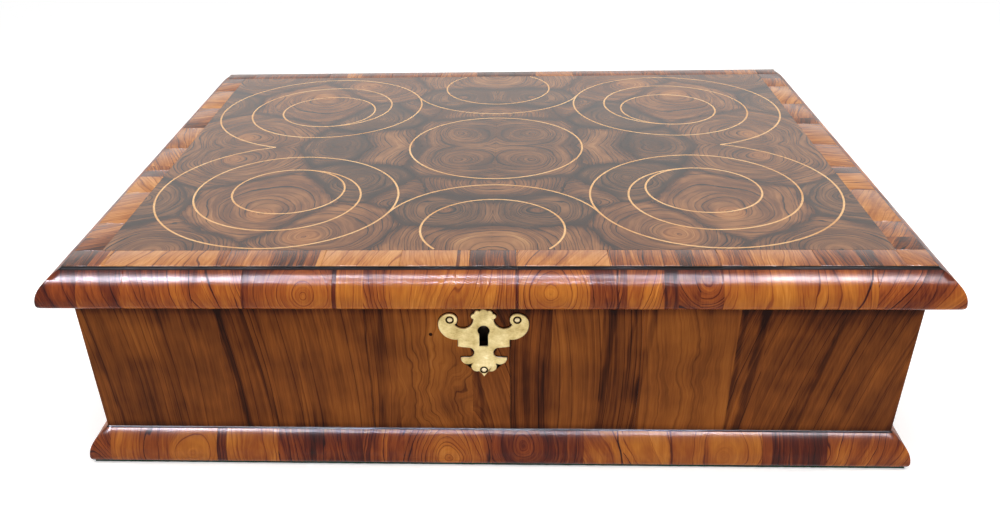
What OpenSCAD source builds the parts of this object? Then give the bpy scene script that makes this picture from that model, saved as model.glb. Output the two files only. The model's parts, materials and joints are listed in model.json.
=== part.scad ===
// Veneered wooden box with a hinged lid: pine carcase, olivewood oyster
// veneers, boxwood stringing, crossbanding, cushion mouldings and a box lock.
// Millimetres. X runs along the front, the front faces -Y and Z is up.
// The origin is under the middle of the carcase, on the face it stands on.

/* [Carcase] */
// Width of the case over its side veneers
case_w = 500; // [460:5:540]
// Depth of the case from front veneer to bare back
case_d = 389; // [375:1:405]
// Height of the case from the baize up to its rim
case_h = 115.8; // [108:0.2:130]
// Thickness of the four wall boards
board_t = 12; // [12:0.5:15]
// Thickness of the bottom boards
bottom_t = 9; // [7:0.5:12]
// Thickness of the olivewood veneers
veneer_t = 2; // [1.5:0.1:2.5]
// Width of the glue line between two lengths of veneer or moulding
glue_gap = 0.06; // [0.04:0.01:0.12]
// Thickness of the facing strips on the rim
facing_t = 2; // [1.6:0.1:2.4]
// Slant of the dovetails, as a rise over a run
tail_slant = 0.2; // [0.1:0.02:0.3]

/* [Lid] */
// Height of the lid from its underside to the top veneer
lid_h = 21; // [18:0.5:25]
// How far the lid panel stands past the case
panel_overhang = 1; // [0.5:0.1:2]
// Gap between the rim and the closed lid
lid_gap = 0.3; // [0.2:0.05:0.5]
// Width of the crossbanding at the sides
crossband_side_w = 17.5; // [15:0.5:20]
// Width of the crossbanding at the front
crossband_front_w = 20.5; // [17:0.5:22]
// Width of the crossbanding at the back
crossband_back_w = 15; // [13:0.5:18]

/* [Stringing] */
// Width of the boxwood strings
string_w = 1.3; // [1:0.1:1.8]
// Depth of the strings in the veneer
string_t = 1.1; // [0.8:0.1:1.3]
// Space between the widest spirals and the side crossbanding
string_margin = 6.3; // [4:0.1:8]

/* [Lid moulding] */
// How far the lid moulding stands out from the panel
lid_moulding_out = 14; // [12:0.5:16]
// Step from the top veneer down to the moulding
lid_moulding_drop = 1; // [0.6:0.1:1.6]
// Radius of the moulding's swelling face
lid_belly_r = 15; // [13:0.5:16]
// Height of the widest line over the moulding's foot
lid_belly_z = 2.6; // [2:0.1:3.2]
// Radius that turns the face under
lid_foot_r = 3.5; // [3.3:0.1:5]

/* [Base moulding] */
// Height of the base moulding
base_moulding_h = 20.5; // [18:0.5:23]
// How far the base moulding stands out from the case
base_moulding_out = 11.7; // [10:0.1:13]
// Radius of its swelling face
base_belly_r = 17; // [15:0.5:17.5]
// Height of its widest line
base_belly_z = 3.2; // [2.4:0.1:3.6]
// Radius that turns the face under
base_foot_r = 4.2; // [3.8:0.1:5]

/* [Baize, lining and nails] */
// Thickness of the baize under the box
baize_t = 1.4; // [1:0.1:2]
// How far the baize stops short of the moulding's widest line
baize_inset = 1.7; // [1:0.1:3]
// Thickness of the lining paper
lining_t = 0.5; // [0.3:0.05:0.8]
// Clearance round the lining under the lid
lining_gap = 2; // [1:0.5:4]
// Diameter of the nails in the bottom boards
nail_d = 1.8; // [1.4:0.1:2.4]
// Length of those nails
nail_l = 26; // [20:1:32]
// Diameter of the nail heads
nail_head_d = 4; // [3:0.2:5]
// Thickness of the nail heads
nail_head_t = 0.8; // [0.6:0.1:1.2]

/* [Escutcheon] */
// Height of the brass escutcheon
escutcheon_h = 47.3; // [44:0.5:50]
// Thickness of the escutcheon
escutcheon_t = 1.2; // [0.8:0.1:1.6]
// Space from the rim down to the escutcheon
escutcheon_drop = 7.3; // [6:0.1:9]
// How far it stands left of the middle
escutcheon_left = 4.65; // [0:0.05:8]
// Diameter of the pins' heads
pin_head_d = 3; // [2.4:0.1:3.4]
// Diameter of the pins' shanks
pin_d = 1.4; // [1:0.1:1.8]
// Length of the shanks behind the plate
pin_l = 4; // [3:0.2:4.4]

/* [Lock] */
// Width of the lock's backplate
lock_w = 104; // [102:1:110]
// Height of the backplate
lock_h = 46; // [44:1:48]
// Thickness of the backplate
lock_plate_t = 1.5; // [1.2:0.1:1.8]
// Depth of the works in front of the backplate
lock_depth = 7.6; // [7.4:0.1:7.8]
// Solid margin of the plate past the works on each side
lock_margin = 7; // [6.5:0.5:8]
// How far the bolt slides
bolt_throw_l = 7; // [6:0.5:7]
// Height of the bolt bar and its prongs
bolt_h = 4.4; // [4:0.1:4.6]
// Thickness of the bolt
bolt_t = 3; // [2.6:0.1:3.2]
// Running clearance round the bolt
bolt_clear = 0.3; // [0.2:0.05:0.4]
// Space between the middles of the two tongues
tongue_pitch = 18; // [17:0.5:20]
// Thickness of each tongue
tongue_t = 3; // [2.6:0.1:3.2]
// Width of each tongue from front to back
tongue_w = 6.4; // [6.2:0.1:6.6]
// Clearance between a tongue and its slot
tongue_clear = 0.6; // [0.5:0.05:0.7]
// Diameter of the drill pin that the key turns on
drill_pin_d = 3; // [2.6:0.1:3.2]
// Length of each guide of the bolt
guide_l = 3; // [2.6:0.1:3.4]
// Thickness of the guides' walls
guide_wall_t = 1.3; // [1:0.1:1.5]
// Radius of the half-round spring
spring_r = 5.6; // [5:0.1:5.8]
// Thickness of the spring
spring_t = 0.8; // [0.6:0.1:1]
// Width of the spring
spring_w = 2.4; // [2:0.1:2.8]
// Width of the link plate in the lid
link_w = 62; // [56:1:66]
// Depth of the link plate
link_d = 10; // [9:0.5:11]
// Thickness of the link plate
link_t = 2; // [1.6:0.1:2.4]

/* [Hinges and screws] */
// Length of each hinge
hinge_l = 60; // [50:1:70]
// Width of a hinge leaf on the rim
hinge_leaf_w = 11; // [10:0.2:11.4]
// Diameter of the hinge knuckles
knuckle_d = 6.8; // [6.4:0.1:8]
// Diameter of the hinge pin
hinge_pin_d = 3; // [2.6:0.1:3.2]
// Radial clearance of the pin in the moving knuckles
hinge_pin_fit = 0.04; // [0.03:0.01:0.06]
// Space between moving and fixed parts of a hinge
hinge_clear = 0.35; // [0.3:0.05:0.5]
// How far the stop lugs reach past the knuckles
hinge_lug = 1.8; // [1.5:0.1:2.5]
// Angle at which the stop lugs meet
hinge_stop_angle = 102; // [95:1:110]
// Space from the end of the case to each hinge
hinge_inset = 62; // [45:1:90]
// Diameter of the screws' shanks
screw_d = 2.4; // [2:0.1:2.8]
// Diameter of the screws' heads
screw_head_d = 4.6; // [4:0.1:5]
// Length of the screws
screw_l = 9; // [8:0.5:9.5]

/* [Hidden] */
$fn = 48;

// One overrun serves every cut
over = 1;

// Levels from the floor up
bottom_z = baize_t;
board_z = bottom_z + bottom_t;
rim_z = baize_t + case_h;
board_h = rim_z - facing_t - board_z;
lid_z = rim_z + lid_gap;
lid_top_z = lid_z + lid_h;
lid_board_t = lid_h - veneer_t;

// Faces of the case, the boards and the panel
case_x = case_w / 2;
case_y = case_d / 2;
board_x = case_x - veneer_t;
board_front_y = -case_y + veneer_t;
inner_x = board_x - board_t;
inner_front_y = board_front_y + board_t;
inner_back_y = case_y - board_t;
panel_x = case_x + panel_overhang;
panel_front_y = -case_y - panel_overhang;
panel_back_y = case_y;
panel_mid_y = (panel_front_y + panel_back_y) / 2;

// Field of oyster veneers inside the crossbanding
field_x = panel_x - crossband_side_w;
field_front_y = panel_front_y + crossband_front_w;
field_back_y = panel_back_y - crossband_back_w;
field_front = panel_mid_y - field_front_y;
field_back = field_back_y - panel_mid_y;

// Spirals: every radius is a whole number of one unit
spiral_place_shares = [0.5953, 0.4308];
spiral_x = field_x * spiral_place_shares[0];
spiral_y = (panel_back_y - panel_mid_y) * spiral_place_shares[1];
spiral_foot_gap = string_margin / 3;
spiral_room = min(field_x - spiral_x - string_margin, field_front - spiral_y - spiral_foot_gap);
spiral_turns = [3, 4, 5, 6, 7];
spiral_unit = spiral_room / spiral_turns[4];
// Ring and arcs on the middle line, as shares of the spiral unit
ring_share = 5.09;
small_arc_share = 3.54;
ring_r = spiral_unit * ring_share;
small_arc_r = spiral_unit * small_arc_share;
small_arc_place_share = 0.741;
small_arc_y = (panel_back_y - panel_mid_y) * small_arc_place_share;
big_arc_place_share = 0.756;
big_arc_y = (panel_back_y - panel_mid_y) * big_arc_place_share;
big_arc_dy = big_arc_y - spiral_y - spiral_unit;
big_arc_r = norm([spiral_x, big_arc_dy]) - spiral_turns[3] * spiral_unit;

// Oysters of one quarter of the field: place along X and Y from the middle
// and reach of each, as shares of the field's half width
oyster_shares = [
    [0.642, 0.445, 0.180], [0.981, 0.428, 0.034], [0.797, 0.128, 0.180],
    [0.398, 0.291, 0.111], [0.510, 0.000, 0.094], [0.351, 0.060, 0.026],
    [0.428, 0.625, 0.154], [0.857, 0.732, 0.086], [0.146, 0.737, 0.143],
    [0.146, 0.505, 0.111], [0.128, 0.360, 0.026], [0.116, 0.128, 0.120],
    [0.257, 0.394, 0.017]
];

// Joints between the cross-grained lengths, as shares of half a run
lid_joint_shares = [-0.85, -0.57, -0.36, -0.08, 0.06, 0.285, 0.52, 0.86];
base_joint_shares = [-0.71, -0.55, -0.33, 0, 0.18, 0.45, 0.68, 0.84];
side_joint_shares = [-0.74, -0.45, -0.16, 0.11, 0.4, 0.7];
veneer_joint_shares = [-0.66, -0.302, 0.046, 0.36, 0.6];
side_veneer_joint_shares = [-0.55, -0.12, 0.34, 0.71];
crossband_joint_shares = [-0.9, -0.62, -0.39, -0.21, -0.05, 0.06, 0.27, 0.52, 0.74, 0.93];
side_crossband_joint_shares = [-0.78, -0.5, -0.27, -0.02, 0.24, 0.52, 0.79];

// Dovetails at each corner
tail_count = 4;
tail_pitch = board_h / tail_count;
tail_root_share = 0.27;

// Escutcheon outline: circles and corners of the right half, as shares of
// its height, measured from its middle line and from its bottom tip
arm_shares = [0.349, 0.778, 0.218];
arm_end_shares = [0.423, 0.791, 0.144];
curl_shares = [0.419, 0.848, 0.087];
upper_bay_shares = [0.258, 0.854, 0.133];
lower_bay_shares = [0.1945, 0.365, 0.076];
wing_shares = [0.203, 0.277, 0.089];
lobe_shares = [0.089, 0.150, 0.072];
crown_shares = [[0.1205, 0.8985, 0.035], [0.074, 0.943, 0.038], [0, 0.9535, 0.0465]];
heart_shares = [
    [0, 0.101], [0.106, 0.186], [0.1945, 0.290], [0.296, 0.290], [0.296, 0.457], [0.3256, 0.457],
    [0.3256, 0.609], [0.349, 0.778], [0.129, 0.854], [0.110, 0.854], [0.110, 0.947], [0, 0.947]
];
lower_mouth_shares = [[0.1945, 0.289], [0.36, 0.290], [0.36, 0.459], [0.1945, 0.441]];
tip_shares = [[0, 0.101], [0.068, 0.082], [0.025, 0.042], [0, 0]];
pin_place_shares = [[-0.423, 0.849], [0.423, 0.849], [0, 0.1015]];
key_z_share = 0.691;
key_r_share = 0.078;
key_slot_half_share = 0.057;
key_foot_share = 0.461;
escutcheon_z = rim_z - escutcheon_drop - escutcheon_h;
pin_dome_share = 0.45;

// Lock: the key's axis follows the escutcheon
key_x = -escutcheon_left;
key_z = escutcheon_z + escutcheon_h * key_z_share;
lock_plate_y = inner_front_y - lock_plate_t;
works_y = lock_plate_y - lock_depth;
works_mid_y = works_y + lock_depth / 2;
works_half_w = lock_w / 2 - lock_margin;
lock_top_z = rim_z;
lock_foot_z = lock_top_z - lock_h;
works_foot_z = lock_foot_z + lock_margin;
bolt_z = key_z + drill_pin_d / 2 + 2 * bolt_clear + tongue_clear * 2;
bolt_top_z = bolt_z + bolt_h;
tongue_z = bolt_top_z + tongue_clear;
tongue_web = tongue_clear * 3;
prong_z = tongue_z + tongue_web + tongue_clear;
eye_h = bolt_h + 2 * tongue_clear;
eye_w = bolt_t + 2 * tongue_clear - 2 * bolt_clear;
prong_l = bolt_throw_l + tongue_clear;
prong_root = bolt_h;
bolt_tail_x = works_half_w - 2 * bolt_clear;
bolt_end_x = bolt_tail_x - bolt_throw_l - tongue_clear;
guide_x = bolt_end_x - tongue_clear - guide_l / 2;
spring_x = guide_x - guide_l / 2 - bolt_clear - spring_r;
lock_screw_in = lock_margin / 2;
lock_screw_x = lock_w / 2 - lock_screw_in;

// Link plate in the lid
link_screw_x = link_w / 2 - screw_head_d;

// Hinges: the axis lies behind the back, level with the parting of the lid
knuckle_r = knuckle_d / 2;
axis_y = case_y + knuckle_r + hinge_clear;
axis_z = rim_z + lid_gap / 2;
hinge_x = case_x - hinge_inset - hinge_l / 2;
hinge_leaf_t = facing_t;
knuckle_l = hinge_l / 3;
leaf_y = case_y - hinge_leaf_w;
hinge_screw_pitch = hinge_l / 3;
hinge_screw_y = case_y - hinge_leaf_w / 2;
lug_t_share = 3.4;
lug_t = hinge_clear * lug_t_share;
lug_slack_angle = 1.5;
screw_slot_w = screw_d / 4;
screw_slot_h = screw_slot_w;

wood_dark = [0.36, 0.2, 0.11];
wood_mid = [0.52, 0.31, 0.17];
wood_light = [0.72, 0.45, 0.22];
pine = [0.8, 0.66, 0.45];
brass = [0.79, 0.66, 0.38];
iron = [0.33, 0.31, 0.3];

// Shared shapes

module block(low, high) {
    translate(low) cube(high - low);
}

// Cross-section of a cushion moulding, from its back at 0 outwards
module cushion_section(h, out, belly_r, belly_z, foot_r) {
    centre = [out - belly_r, belly_z];
    far = [0, h] - centre;
    tangent = atan2(far[1], far[0]) - acos(belly_r / norm(far));
    touch = centre + belly_r * [cos(tangent), sin(tangent)];
    union() {
        polygon([[0, 0], [out - foot_r, 0], [out - foot_r, belly_z], [touch[0], belly_z], touch, [0, h]]);
        intersection() {
            translate(centre) circle(belly_r);
            translate([0, belly_z]) square([out, touch[1] - belly_z]);
        }
        intersection() {
            translate([out - foot_r, belly_z]) circle(foot_r);
            translate([out - foot_r, 0]) square([foot_r, belly_z]);
        }
    }
}

// Straight run along X in separate lengths, facing -Y, mitred where asked
module moulding_run(half, out, h, joint_shares, mitre_low, mitre_high) {
    low = mitre_low ? -half - out : -half;
    high = mitre_high ? half + out : half;
    ends = concat([low], joint_shares * half, [high]);
    for (i = [0 : len(ends) - 2]) {
        intersection() {
            translate([ends[i] + glue_gap / 2, 0, 0]) rotate([90, 0, 90]) mirror([1, 0, 0])
                linear_extrude(ends[i + 1] - ends[i] - glue_gap) children();
            linear_extrude(h) polygon([[-half, 0], [low, -out], [high, -out], [half, 0]]);
        }
    }
}

module lid_section() {
    cushion_section(lid_h - lid_moulding_drop, lid_moulding_out, lid_belly_r, lid_belly_z, lid_foot_r);
}

module base_section() {
    cushion_section(base_moulding_h, base_moulding_out, base_belly_r, base_belly_z, base_foot_r);
}

// Row of plates along X, parted at shares of half its length
module plate_row(half, d, t, joint_shares) {
    ends = concat([-half], joint_shares * half, [half]);
    for (i = [0 : len(ends) - 2]) {
        block([ends[i] + glue_gap / 2, 0, 0], [ends[i + 1] - glue_gap / 2, d, t]);
    }
}

// Screw with a slotted flat head; its head lies at 0 and it runs down -Z
module screw_body() {
    head_h = (screw_head_d - screw_d) / 2;
    translate([0, 0, -head_h]) cylinder(h = head_h, d1 = screw_d, d2 = screw_head_d);
    translate([0, 0, -screw_l]) cylinder(h = screw_l, d = screw_d);
}

module screw() {
    difference() {
        screw_body();
        cube([screw_head_d + over, screw_slot_w, 2 * screw_slot_h], center = true);
    }
}

// Dovetails

// Tails of one corner, from the shoulder at 0 out to the end at board_t
module tails(thick) {
    root = tail_pitch * tail_root_share;
    end = root + board_t * tail_slant;
    for (i = [0 : tail_count - 1]) {
        translate([0, thick, board_z + tail_pitch * (i + 0.5)]) rotate([90, 0, 0])
            linear_extrude(thick) polygon([[0, -root], [board_t, -end], [board_t, end], [0, root]]);
    }
}

// Tails at both ends of a board that starts at y
module tail_rows(y, thick) {
    for (side = [0, 1]) mirror([side, 0, 0]) translate([inner_x, y, 0]) tails(thick);
}

// Nails through the bottom boards

nail_wall_y = [board_front_y + board_t / 2, case_y - board_t / 2];
nail_wall_x = board_x - board_t / 2;
nail_end_shares = [-0.75, -0.25, 0.25, 0.75];
nail_side_shares = [-0.5, -0.16, 0.16, 0.5];

module nail() {
    cylinder(h = nail_head_t, d = nail_head_d);
    cylinder(h = nail_l, d = nail_d);
}

module nails() {
    for (y = nail_wall_y, s = nail_end_shares) translate([s * inner_x, y, bottom_z]) nail();
    for (side = [-1, 1], s = nail_side_shares) {
        translate([side * nail_wall_x, s * inner_back_y, bottom_z]) nail();
    }
}

module bottom_part(y_low, y_high) {
    difference() {
        block([-board_x, y_low, bottom_z], [board_x, y_high, board_z]);
        nails();
    }
}

module bottom_board_front() {
    color(pine) bottom_part(board_front_y, 0);
}

module bottom_board_back() {
    color(pine) bottom_part(0, case_y);
}

// Lock mortise, open inward and upward, and the keyhole through the board

module key_section() {
    translate([0, key_z_share * escutcheon_h]) circle(key_r_share * escutcheon_h);
    translate([-key_slot_half_share * escutcheon_h, key_foot_share * escutcheon_h])
        square([2 * key_slot_half_share, key_z_share - key_foot_share] * escutcheon_h);
}

module on_front(y) {
    translate([key_x, y, escutcheon_z]) rotate([90, 0, 0]) children();
}

module key_cut(y, depth) {
    on_front(y + depth) linear_extrude(depth) key_section();
}

module lock_mortise() {
    block([key_x - works_half_w, works_y, works_foot_z],
          [key_x + works_half_w, inner_front_y + over, lock_top_z + over]);
    block([key_x - lock_w / 2, lock_plate_y, lock_foot_z],
          [key_x + lock_w / 2, inner_front_y + over, lock_top_z + over]);
}

module lock_screw_places() {
    for (side = [-1, 1], z = [lock_foot_z + lock_screw_in, lock_top_z - facing_t - lock_screw_in]) {
        translate([key_x + side * lock_screw_x, inner_front_y, z]) rotate([-90, 0, 0]) children();
    }
}

module escutcheon_pin_places() {
    for (p = pin_place_shares) {
        translate([key_x + p[0] * escutcheon_h, -case_y - escutcheon_t, escutcheon_z + p[1] * escutcheon_h])
            rotate([-90, 0, 0]) children();
    }
}

module pin_shank() {
    cylinder(h = escutcheon_t + pin_l, d = pin_d);
}

module front_board() {
    color(pine) difference() {
        union() {
            block([-inner_x, board_front_y, board_z], [inner_x, inner_front_y, board_z + board_h]);
            tail_rows(board_front_y, board_t);
        }
        lock_mortise();
        key_cut(board_front_y - over, works_y - board_front_y + 2 * over);
        lock_screw_places() screw_body();
        escutcheon_pin_places() pin_shank();
        nails();
    }
}

module back_board() {
    color(pine) difference() {
        union() {
            block([-inner_x, inner_back_y, board_z], [inner_x, case_y, board_z + board_h]);
            tail_rows(inner_back_y, board_t);
        }
        nails();
        hinge_places() case_screw_places() screw_body();
    }
}

module side_board() {
    difference() {
        block([inner_x, board_front_y, board_z], [board_x, case_y, board_z + board_h]);
        tail_rows(board_front_y, board_t);
        tail_rows(inner_back_y, board_t);
        nails();
    }
}

module left_board() {
    color(pine) mirror([1, 0, 0]) side_board();
}

module right_board() {
    color(pine) side_board();
}

// Veneers of the case

module front_veneer() {
    color(wood_mid) difference() {
        translate([0, -case_y, bottom_z]) plate_row(case_x, veneer_t, case_h, veneer_joint_shares);
        key_cut(-case_y - over, veneer_t + 2 * over);
        escutcheon_pin_places() pin_shank();
    }
}

module side_veneer() {
    half = (case_d - veneer_t) / 2;
    translate([case_x, veneer_t / 2, bottom_z]) rotate([0, 0, 90])
        plate_row(half, veneer_t, case_h, side_veneer_joint_shares);
}

module left_veneer() {
    color(wood_mid) mirror([1, 0, 0]) side_veneer();
}

module right_veneer() {
    color(wood_mid) side_veneer();
}

// Facing strips on the rim, mitred at the corners

module facing_ring(corner) {
    translate([0, 0, rim_z - facing_t]) linear_extrude(facing_t) polygon(corner);
}

module rim_facing_front() {
    color(wood_mid) difference() {
        facing_ring([[-board_x, board_front_y], [board_x, board_front_y],
                     [inner_x, inner_front_y], [-inner_x, inner_front_y]]);
        block([key_x - lock_w / 2, works_y, rim_z - facing_t - over],
              [key_x + lock_w / 2, inner_front_y + over, rim_z + over]);
    }
}

module rim_facing_back() {
    color(wood_mid) difference() {
        facing_ring([[-board_x, case_y], [-inner_x, inner_back_y],
                     [inner_x, inner_back_y], [board_x, case_y]]);
        hinge_places() block([-hinge_l / 2, leaf_y, rim_z - facing_t - over],
                             [hinge_l / 2, case_y + over, rim_z + over]);
    }
}

module side_facing() {
    facing_ring([[board_x, board_front_y], [board_x, case_y],
                 [inner_x, inner_back_y], [inner_x, inner_front_y]]);
}

module rim_facing_left() {
    color(wood_mid) mirror([1, 0, 0]) side_facing();
}

module rim_facing_right() {
    color(wood_mid) side_facing();
}

// Base mouldings

module base_moulding_front() {
    color(wood_light) translate([0, -case_y, bottom_z])
        moulding_run(case_x, base_moulding_out, base_moulding_h, base_joint_shares, true, true)
            base_section();
}

module side_base_moulding() {
    translate([case_x, 0, bottom_z]) rotate([0, 0, 90])
        moulding_run(case_y, base_moulding_out, base_moulding_h, side_joint_shares, true, false)
            base_section();
}

module base_moulding_right() {
    color(wood_light) side_base_moulding();
}

module base_moulding_left() {
    color(wood_light) mirror([1, 0, 0]) side_base_moulding();
}

module baize() {
    reach = base_moulding_out - baize_inset;
    color([0.13, 0.25, 0.16])
        block([-case_x - reach, -case_y - reach, 0], [case_x + reach, case_y, baize_t]);
}

module bottom_nails() {
    color(iron) nails();
}

// Lining paper

module lining_floor() {
    color([0.75, 0.7, 0.6])
        block([-inner_x, inner_front_y, board_z], [inner_x, inner_back_y, board_z + lining_t]);
}

module lining_walls() {
    low = board_z + lining_t;
    high = rim_z - facing_t;
    color([0.75, 0.7, 0.6]) {
        difference() {
            block([-inner_x + lining_t, inner_front_y, low],
                  [inner_x - lining_t, inner_front_y + lining_t, high]);
            block([key_x - lock_w / 2, inner_front_y - over, lock_foot_z],
                  [key_x + lock_w / 2, inner_front_y + lining_t + over, lock_top_z + over]);
        }
        block([-inner_x + lining_t, inner_back_y - lining_t, low],
              [inner_x - lining_t, inner_back_y, high]);
        for (side = [0, 1]) mirror([side, 0, 0])
            block([inner_x - lining_t, inner_front_y, low], [inner_x, inner_back_y, high]);
    }
}

module lining_lid() {
    reach_x = inner_x - lining_t - lining_gap;
    color([0.75, 0.7, 0.6])
        block([-reach_x, inner_front_y + lining_t + lining_gap, lid_z - lining_t],
              [reach_x, inner_back_y - lining_t - lining_gap, lid_z]);
}

// Escutcheon

module share_circle(s) {
    translate([s[0], s[1]] * escutcheon_h) circle(s[2] * escutcheon_h);
}

module escutcheon_half() {
    difference() {
        union() {
            polygon(heart_shares * escutcheon_h);
            intersection() {
                share_circle(arm_shares);
                square([1, arm_end_shares[1]] * escutcheon_h);
            }
            share_circle(arm_end_shares);
        }
        share_circle(upper_bay_shares);
        share_circle(lower_bay_shares);
        polygon(lower_mouth_shares * escutcheon_h);
    }
    share_circle(curl_shares);
    intersection() {
        share_circle(wing_shares);
        square([1, lower_mouth_shares[0][1]] * escutcheon_h);
    }
    share_circle(lobe_shares);
    for (c = crown_shares) share_circle(c);
    polygon(tip_shares * escutcheon_h);
}

module escutcheon() {
    color(brass) difference() {
        on_front(-case_y) linear_extrude(escutcheon_t) {
            escutcheon_half();
            mirror([1, 0]) escutcheon_half();
        }
        key_cut(-case_y - escutcheon_t - over, escutcheon_t + 2 * over);
        escutcheon_pin_places() pin_shank();
    }
}

// Domed heads: a slice of a ball as high as its share of the head's radius
module escutcheon_pins() {
    rise = pin_head_d / 2 * pin_dome_share;
    ball_r = (pin_head_d * pin_head_d / 4 + rise * rise) / (2 * rise);
    color(brass) escutcheon_pin_places() {
        pin_shank();
        intersection() {
            translate([0, 0, ball_r - rise]) sphere(ball_r);
            translate([0, 0, -rise]) cylinder(h = rise, d = pin_head_d);
        }
    }
}

// Lock

module lock_plate() {
    slot_w = tongue_t + 2 * tongue_clear;
    color(iron) difference() {
        union() {
            block([key_x - lock_w / 2, lock_plate_y, lock_foot_z],
                  [key_x + lock_w / 2, inner_front_y, rim_z]);
            block([key_x - lock_w / 2, works_y, rim_z - facing_t],
                  [key_x + lock_w / 2, inner_front_y, rim_z]);
        }
        for (side = [-1, 1]) {
            translate([key_x + side * tongue_pitch / 2, works_mid_y, rim_z])
                cube([slot_w, tongue_w + 2 * tongue_clear, 2 * facing_t + over], center = true);
        }
        lock_screw_places() screw_body();
    }
}

module lock_screws() {
    color(iron) lock_screw_places() screw();
}

// Two guides that the bolt bar runs through
module lock_guides() {
    low = bolt_z - bolt_clear - guide_wall_t;
    high = bolt_top_z + bolt_clear + guide_wall_t;
    front = works_mid_y - bolt_t / 2 - bolt_clear - guide_wall_t;
    color(iron) for (side = [-1, 1]) {
        translate([key_x + side * guide_x, 0, 0]) difference() {
            block([-guide_l / 2, front, low], [guide_l / 2, lock_plate_y, high]);
            block([-guide_l / 2 - over, works_mid_y - bolt_t / 2 - bolt_clear, bolt_z - bolt_clear],
                  [guide_l / 2 + over, works_mid_y + bolt_t / 2 + bolt_clear, bolt_top_z + bolt_clear]);
        }
    }
}

module lock_drill_pin() {
    color(iron) translate([key_x, lock_plate_y, key_z]) rotate([90, 0, 0])
        cylinder(h = lock_depth, d = drill_pin_d);
}

// Half-round leaf spring that lies over the bolt bar
module lock_spring() {
    foot_z = bolt_top_z + bolt_clear;
    color(iron) translate([key_x + spring_x, works_mid_y + spring_w / 2, foot_z + spring_r]) {
        rotate([90, 0, 0]) difference() {
            cylinder(h = spring_w, r = spring_r);
            translate([0, 0, -over]) cylinder(h = spring_w + 2 * over, r = spring_r - spring_t);
            translate([-spring_r - over, -spring_r - over, -over])
                cube([spring_r + over, 2 * spring_r + 2 * over, spring_w + 2 * over]);
        }
        block([-spring_t, -spring_w, spring_r - spring_t],
              [spring_t, lock_plate_y - works_mid_y - spring_w / 2, spring_r]);
    }
}

// Sliding bolt: a bar with two prongs that pass through the tongues' eyes
module lock_bolt() {
    color(iron) translate([key_x, works_mid_y - bolt_t / 2, 0]) {
        block([-bolt_tail_x, 0, bolt_z], [bolt_end_x, bolt_t, bolt_top_z]);
        for (side = [-1, 1]) {
            tip = side * tongue_pitch / 2 - tongue_t / 2 - tongue_clear;
            root = tip - prong_l - prong_root;
            block([root, 0, prong_z], [tip, bolt_t, prong_z + bolt_h]);
            block([root, 0, bolt_z], [root + prong_root, bolt_t, prong_z + bolt_h]);
        }
    }
}

// Link plate under the lid with its two tongues

module link_screw_places() {
    for (side = [-1, 1]) {
        translate([key_x + side * link_screw_x, works_mid_y, lid_z]) rotate([180, 0, 0]) children();
    }
}

module link_block() {
    block([key_x - link_w / 2, works_mid_y - link_d / 2, lid_z],
          [key_x + link_w / 2, works_mid_y + link_d / 2, lid_z + link_t]);
}

module link_tongue_bodies() {
    for (side = [-1, 1]) {
        translate([key_x + side * tongue_pitch / 2, works_mid_y, 0])
            block([-tongue_t / 2, -tongue_w / 2, tongue_z], [tongue_t / 2, tongue_w / 2, lid_z + link_t]);
    }
}

module link_plate() {
    color(iron) difference() {
        link_block();
        link_tongue_bodies();
        link_screw_places() screw_body();
    }
}

module link_tongues() {
    eye_low = prong_z - tongue_clear;
    color(iron) difference() {
        link_tongue_bodies();
        block([key_x - tongue_pitch, works_mid_y - eye_w / 2, eye_low],
              [key_x + tongue_pitch, works_mid_y + eye_w / 2, eye_low + eye_h]);
    }
}

module link_screws() {
    color(iron) link_screw_places() screw();
}

// Hinges

module hinge_places() {
    for (side = [-1, 1]) translate([side * hinge_x, 0, 0]) children();
}

module at_axis(x, l, d) {
    translate([x, axis_y, axis_z]) rotate([0, 90, 0]) cylinder(h = l, d = d, center = true);
}

module case_screw_places() {
    for (i = [-1, 0, 1]) translate([i * hinge_screw_pitch, hinge_screw_y, rim_z]) children();
}

module lid_screw_places() {
    for (i = [-1, 0, 1]) {
        translate([i * hinge_screw_pitch, hinge_screw_y, lid_z]) rotate([180, 0, 0]) children();
    }
}

// Stop lug beside the barrel, at an angle from level, its stop face on the ray
module stop_lug(x, l, angle, below) {
    translate([x - l / 2, axis_y, axis_z]) rotate([angle, 0, 0])
        translate([0, 0, below ? -lug_t : 0]) cube([l, knuckle_r + hinge_lug, lug_t]);
}

module hinge_leaf_case() {
    difference() {
        union() {
            block([-hinge_l / 2, leaf_y, rim_z - hinge_leaf_t], [hinge_l / 2, case_y, rim_z]);
            block([-knuckle_l / 2 + hinge_clear / 2, case_y - over, rim_z - hinge_leaf_t],
                  [knuckle_l / 2 - hinge_clear / 2, axis_y, rim_z]);
            at_axis(0, knuckle_l - hinge_clear, knuckle_d);
            stop_lug(0, knuckle_l - hinge_clear, -hinge_stop_angle / 2, true);
        }
        at_axis(0, hinge_l, hinge_pin_d);
        case_screw_places() screw_body();
    }
}

module hinge_leaf_lid() {
    end_l = knuckle_l - hinge_clear / 2;
    end_x = hinge_l / 2 - end_l / 2;
    lug_clear_d = knuckle_d + 2 * hinge_clear;
    difference() {
        union() {
            block([-hinge_l / 2, leaf_y, lid_z], [hinge_l / 2, case_y, lid_z + hinge_leaf_t]);
            for (side = [-1, 1]) {
                block([side * end_x - end_l / 2, case_y - over, lid_z],
                      [side * end_x + end_l / 2, axis_y, lid_z + hinge_leaf_t]);
                at_axis(side * end_x, end_l, knuckle_d);
            }
            difference() {
                stop_lug(0, hinge_l, hinge_stop_angle / 2 + lug_slack_angle, false);
                at_axis(0, knuckle_l + hinge_clear, lug_clear_d);
            }
        }
        at_axis(0, hinge_l + over, hinge_pin_d + 2 * hinge_pin_fit);
        lid_screw_places() screw_body();
    }
}

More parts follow.
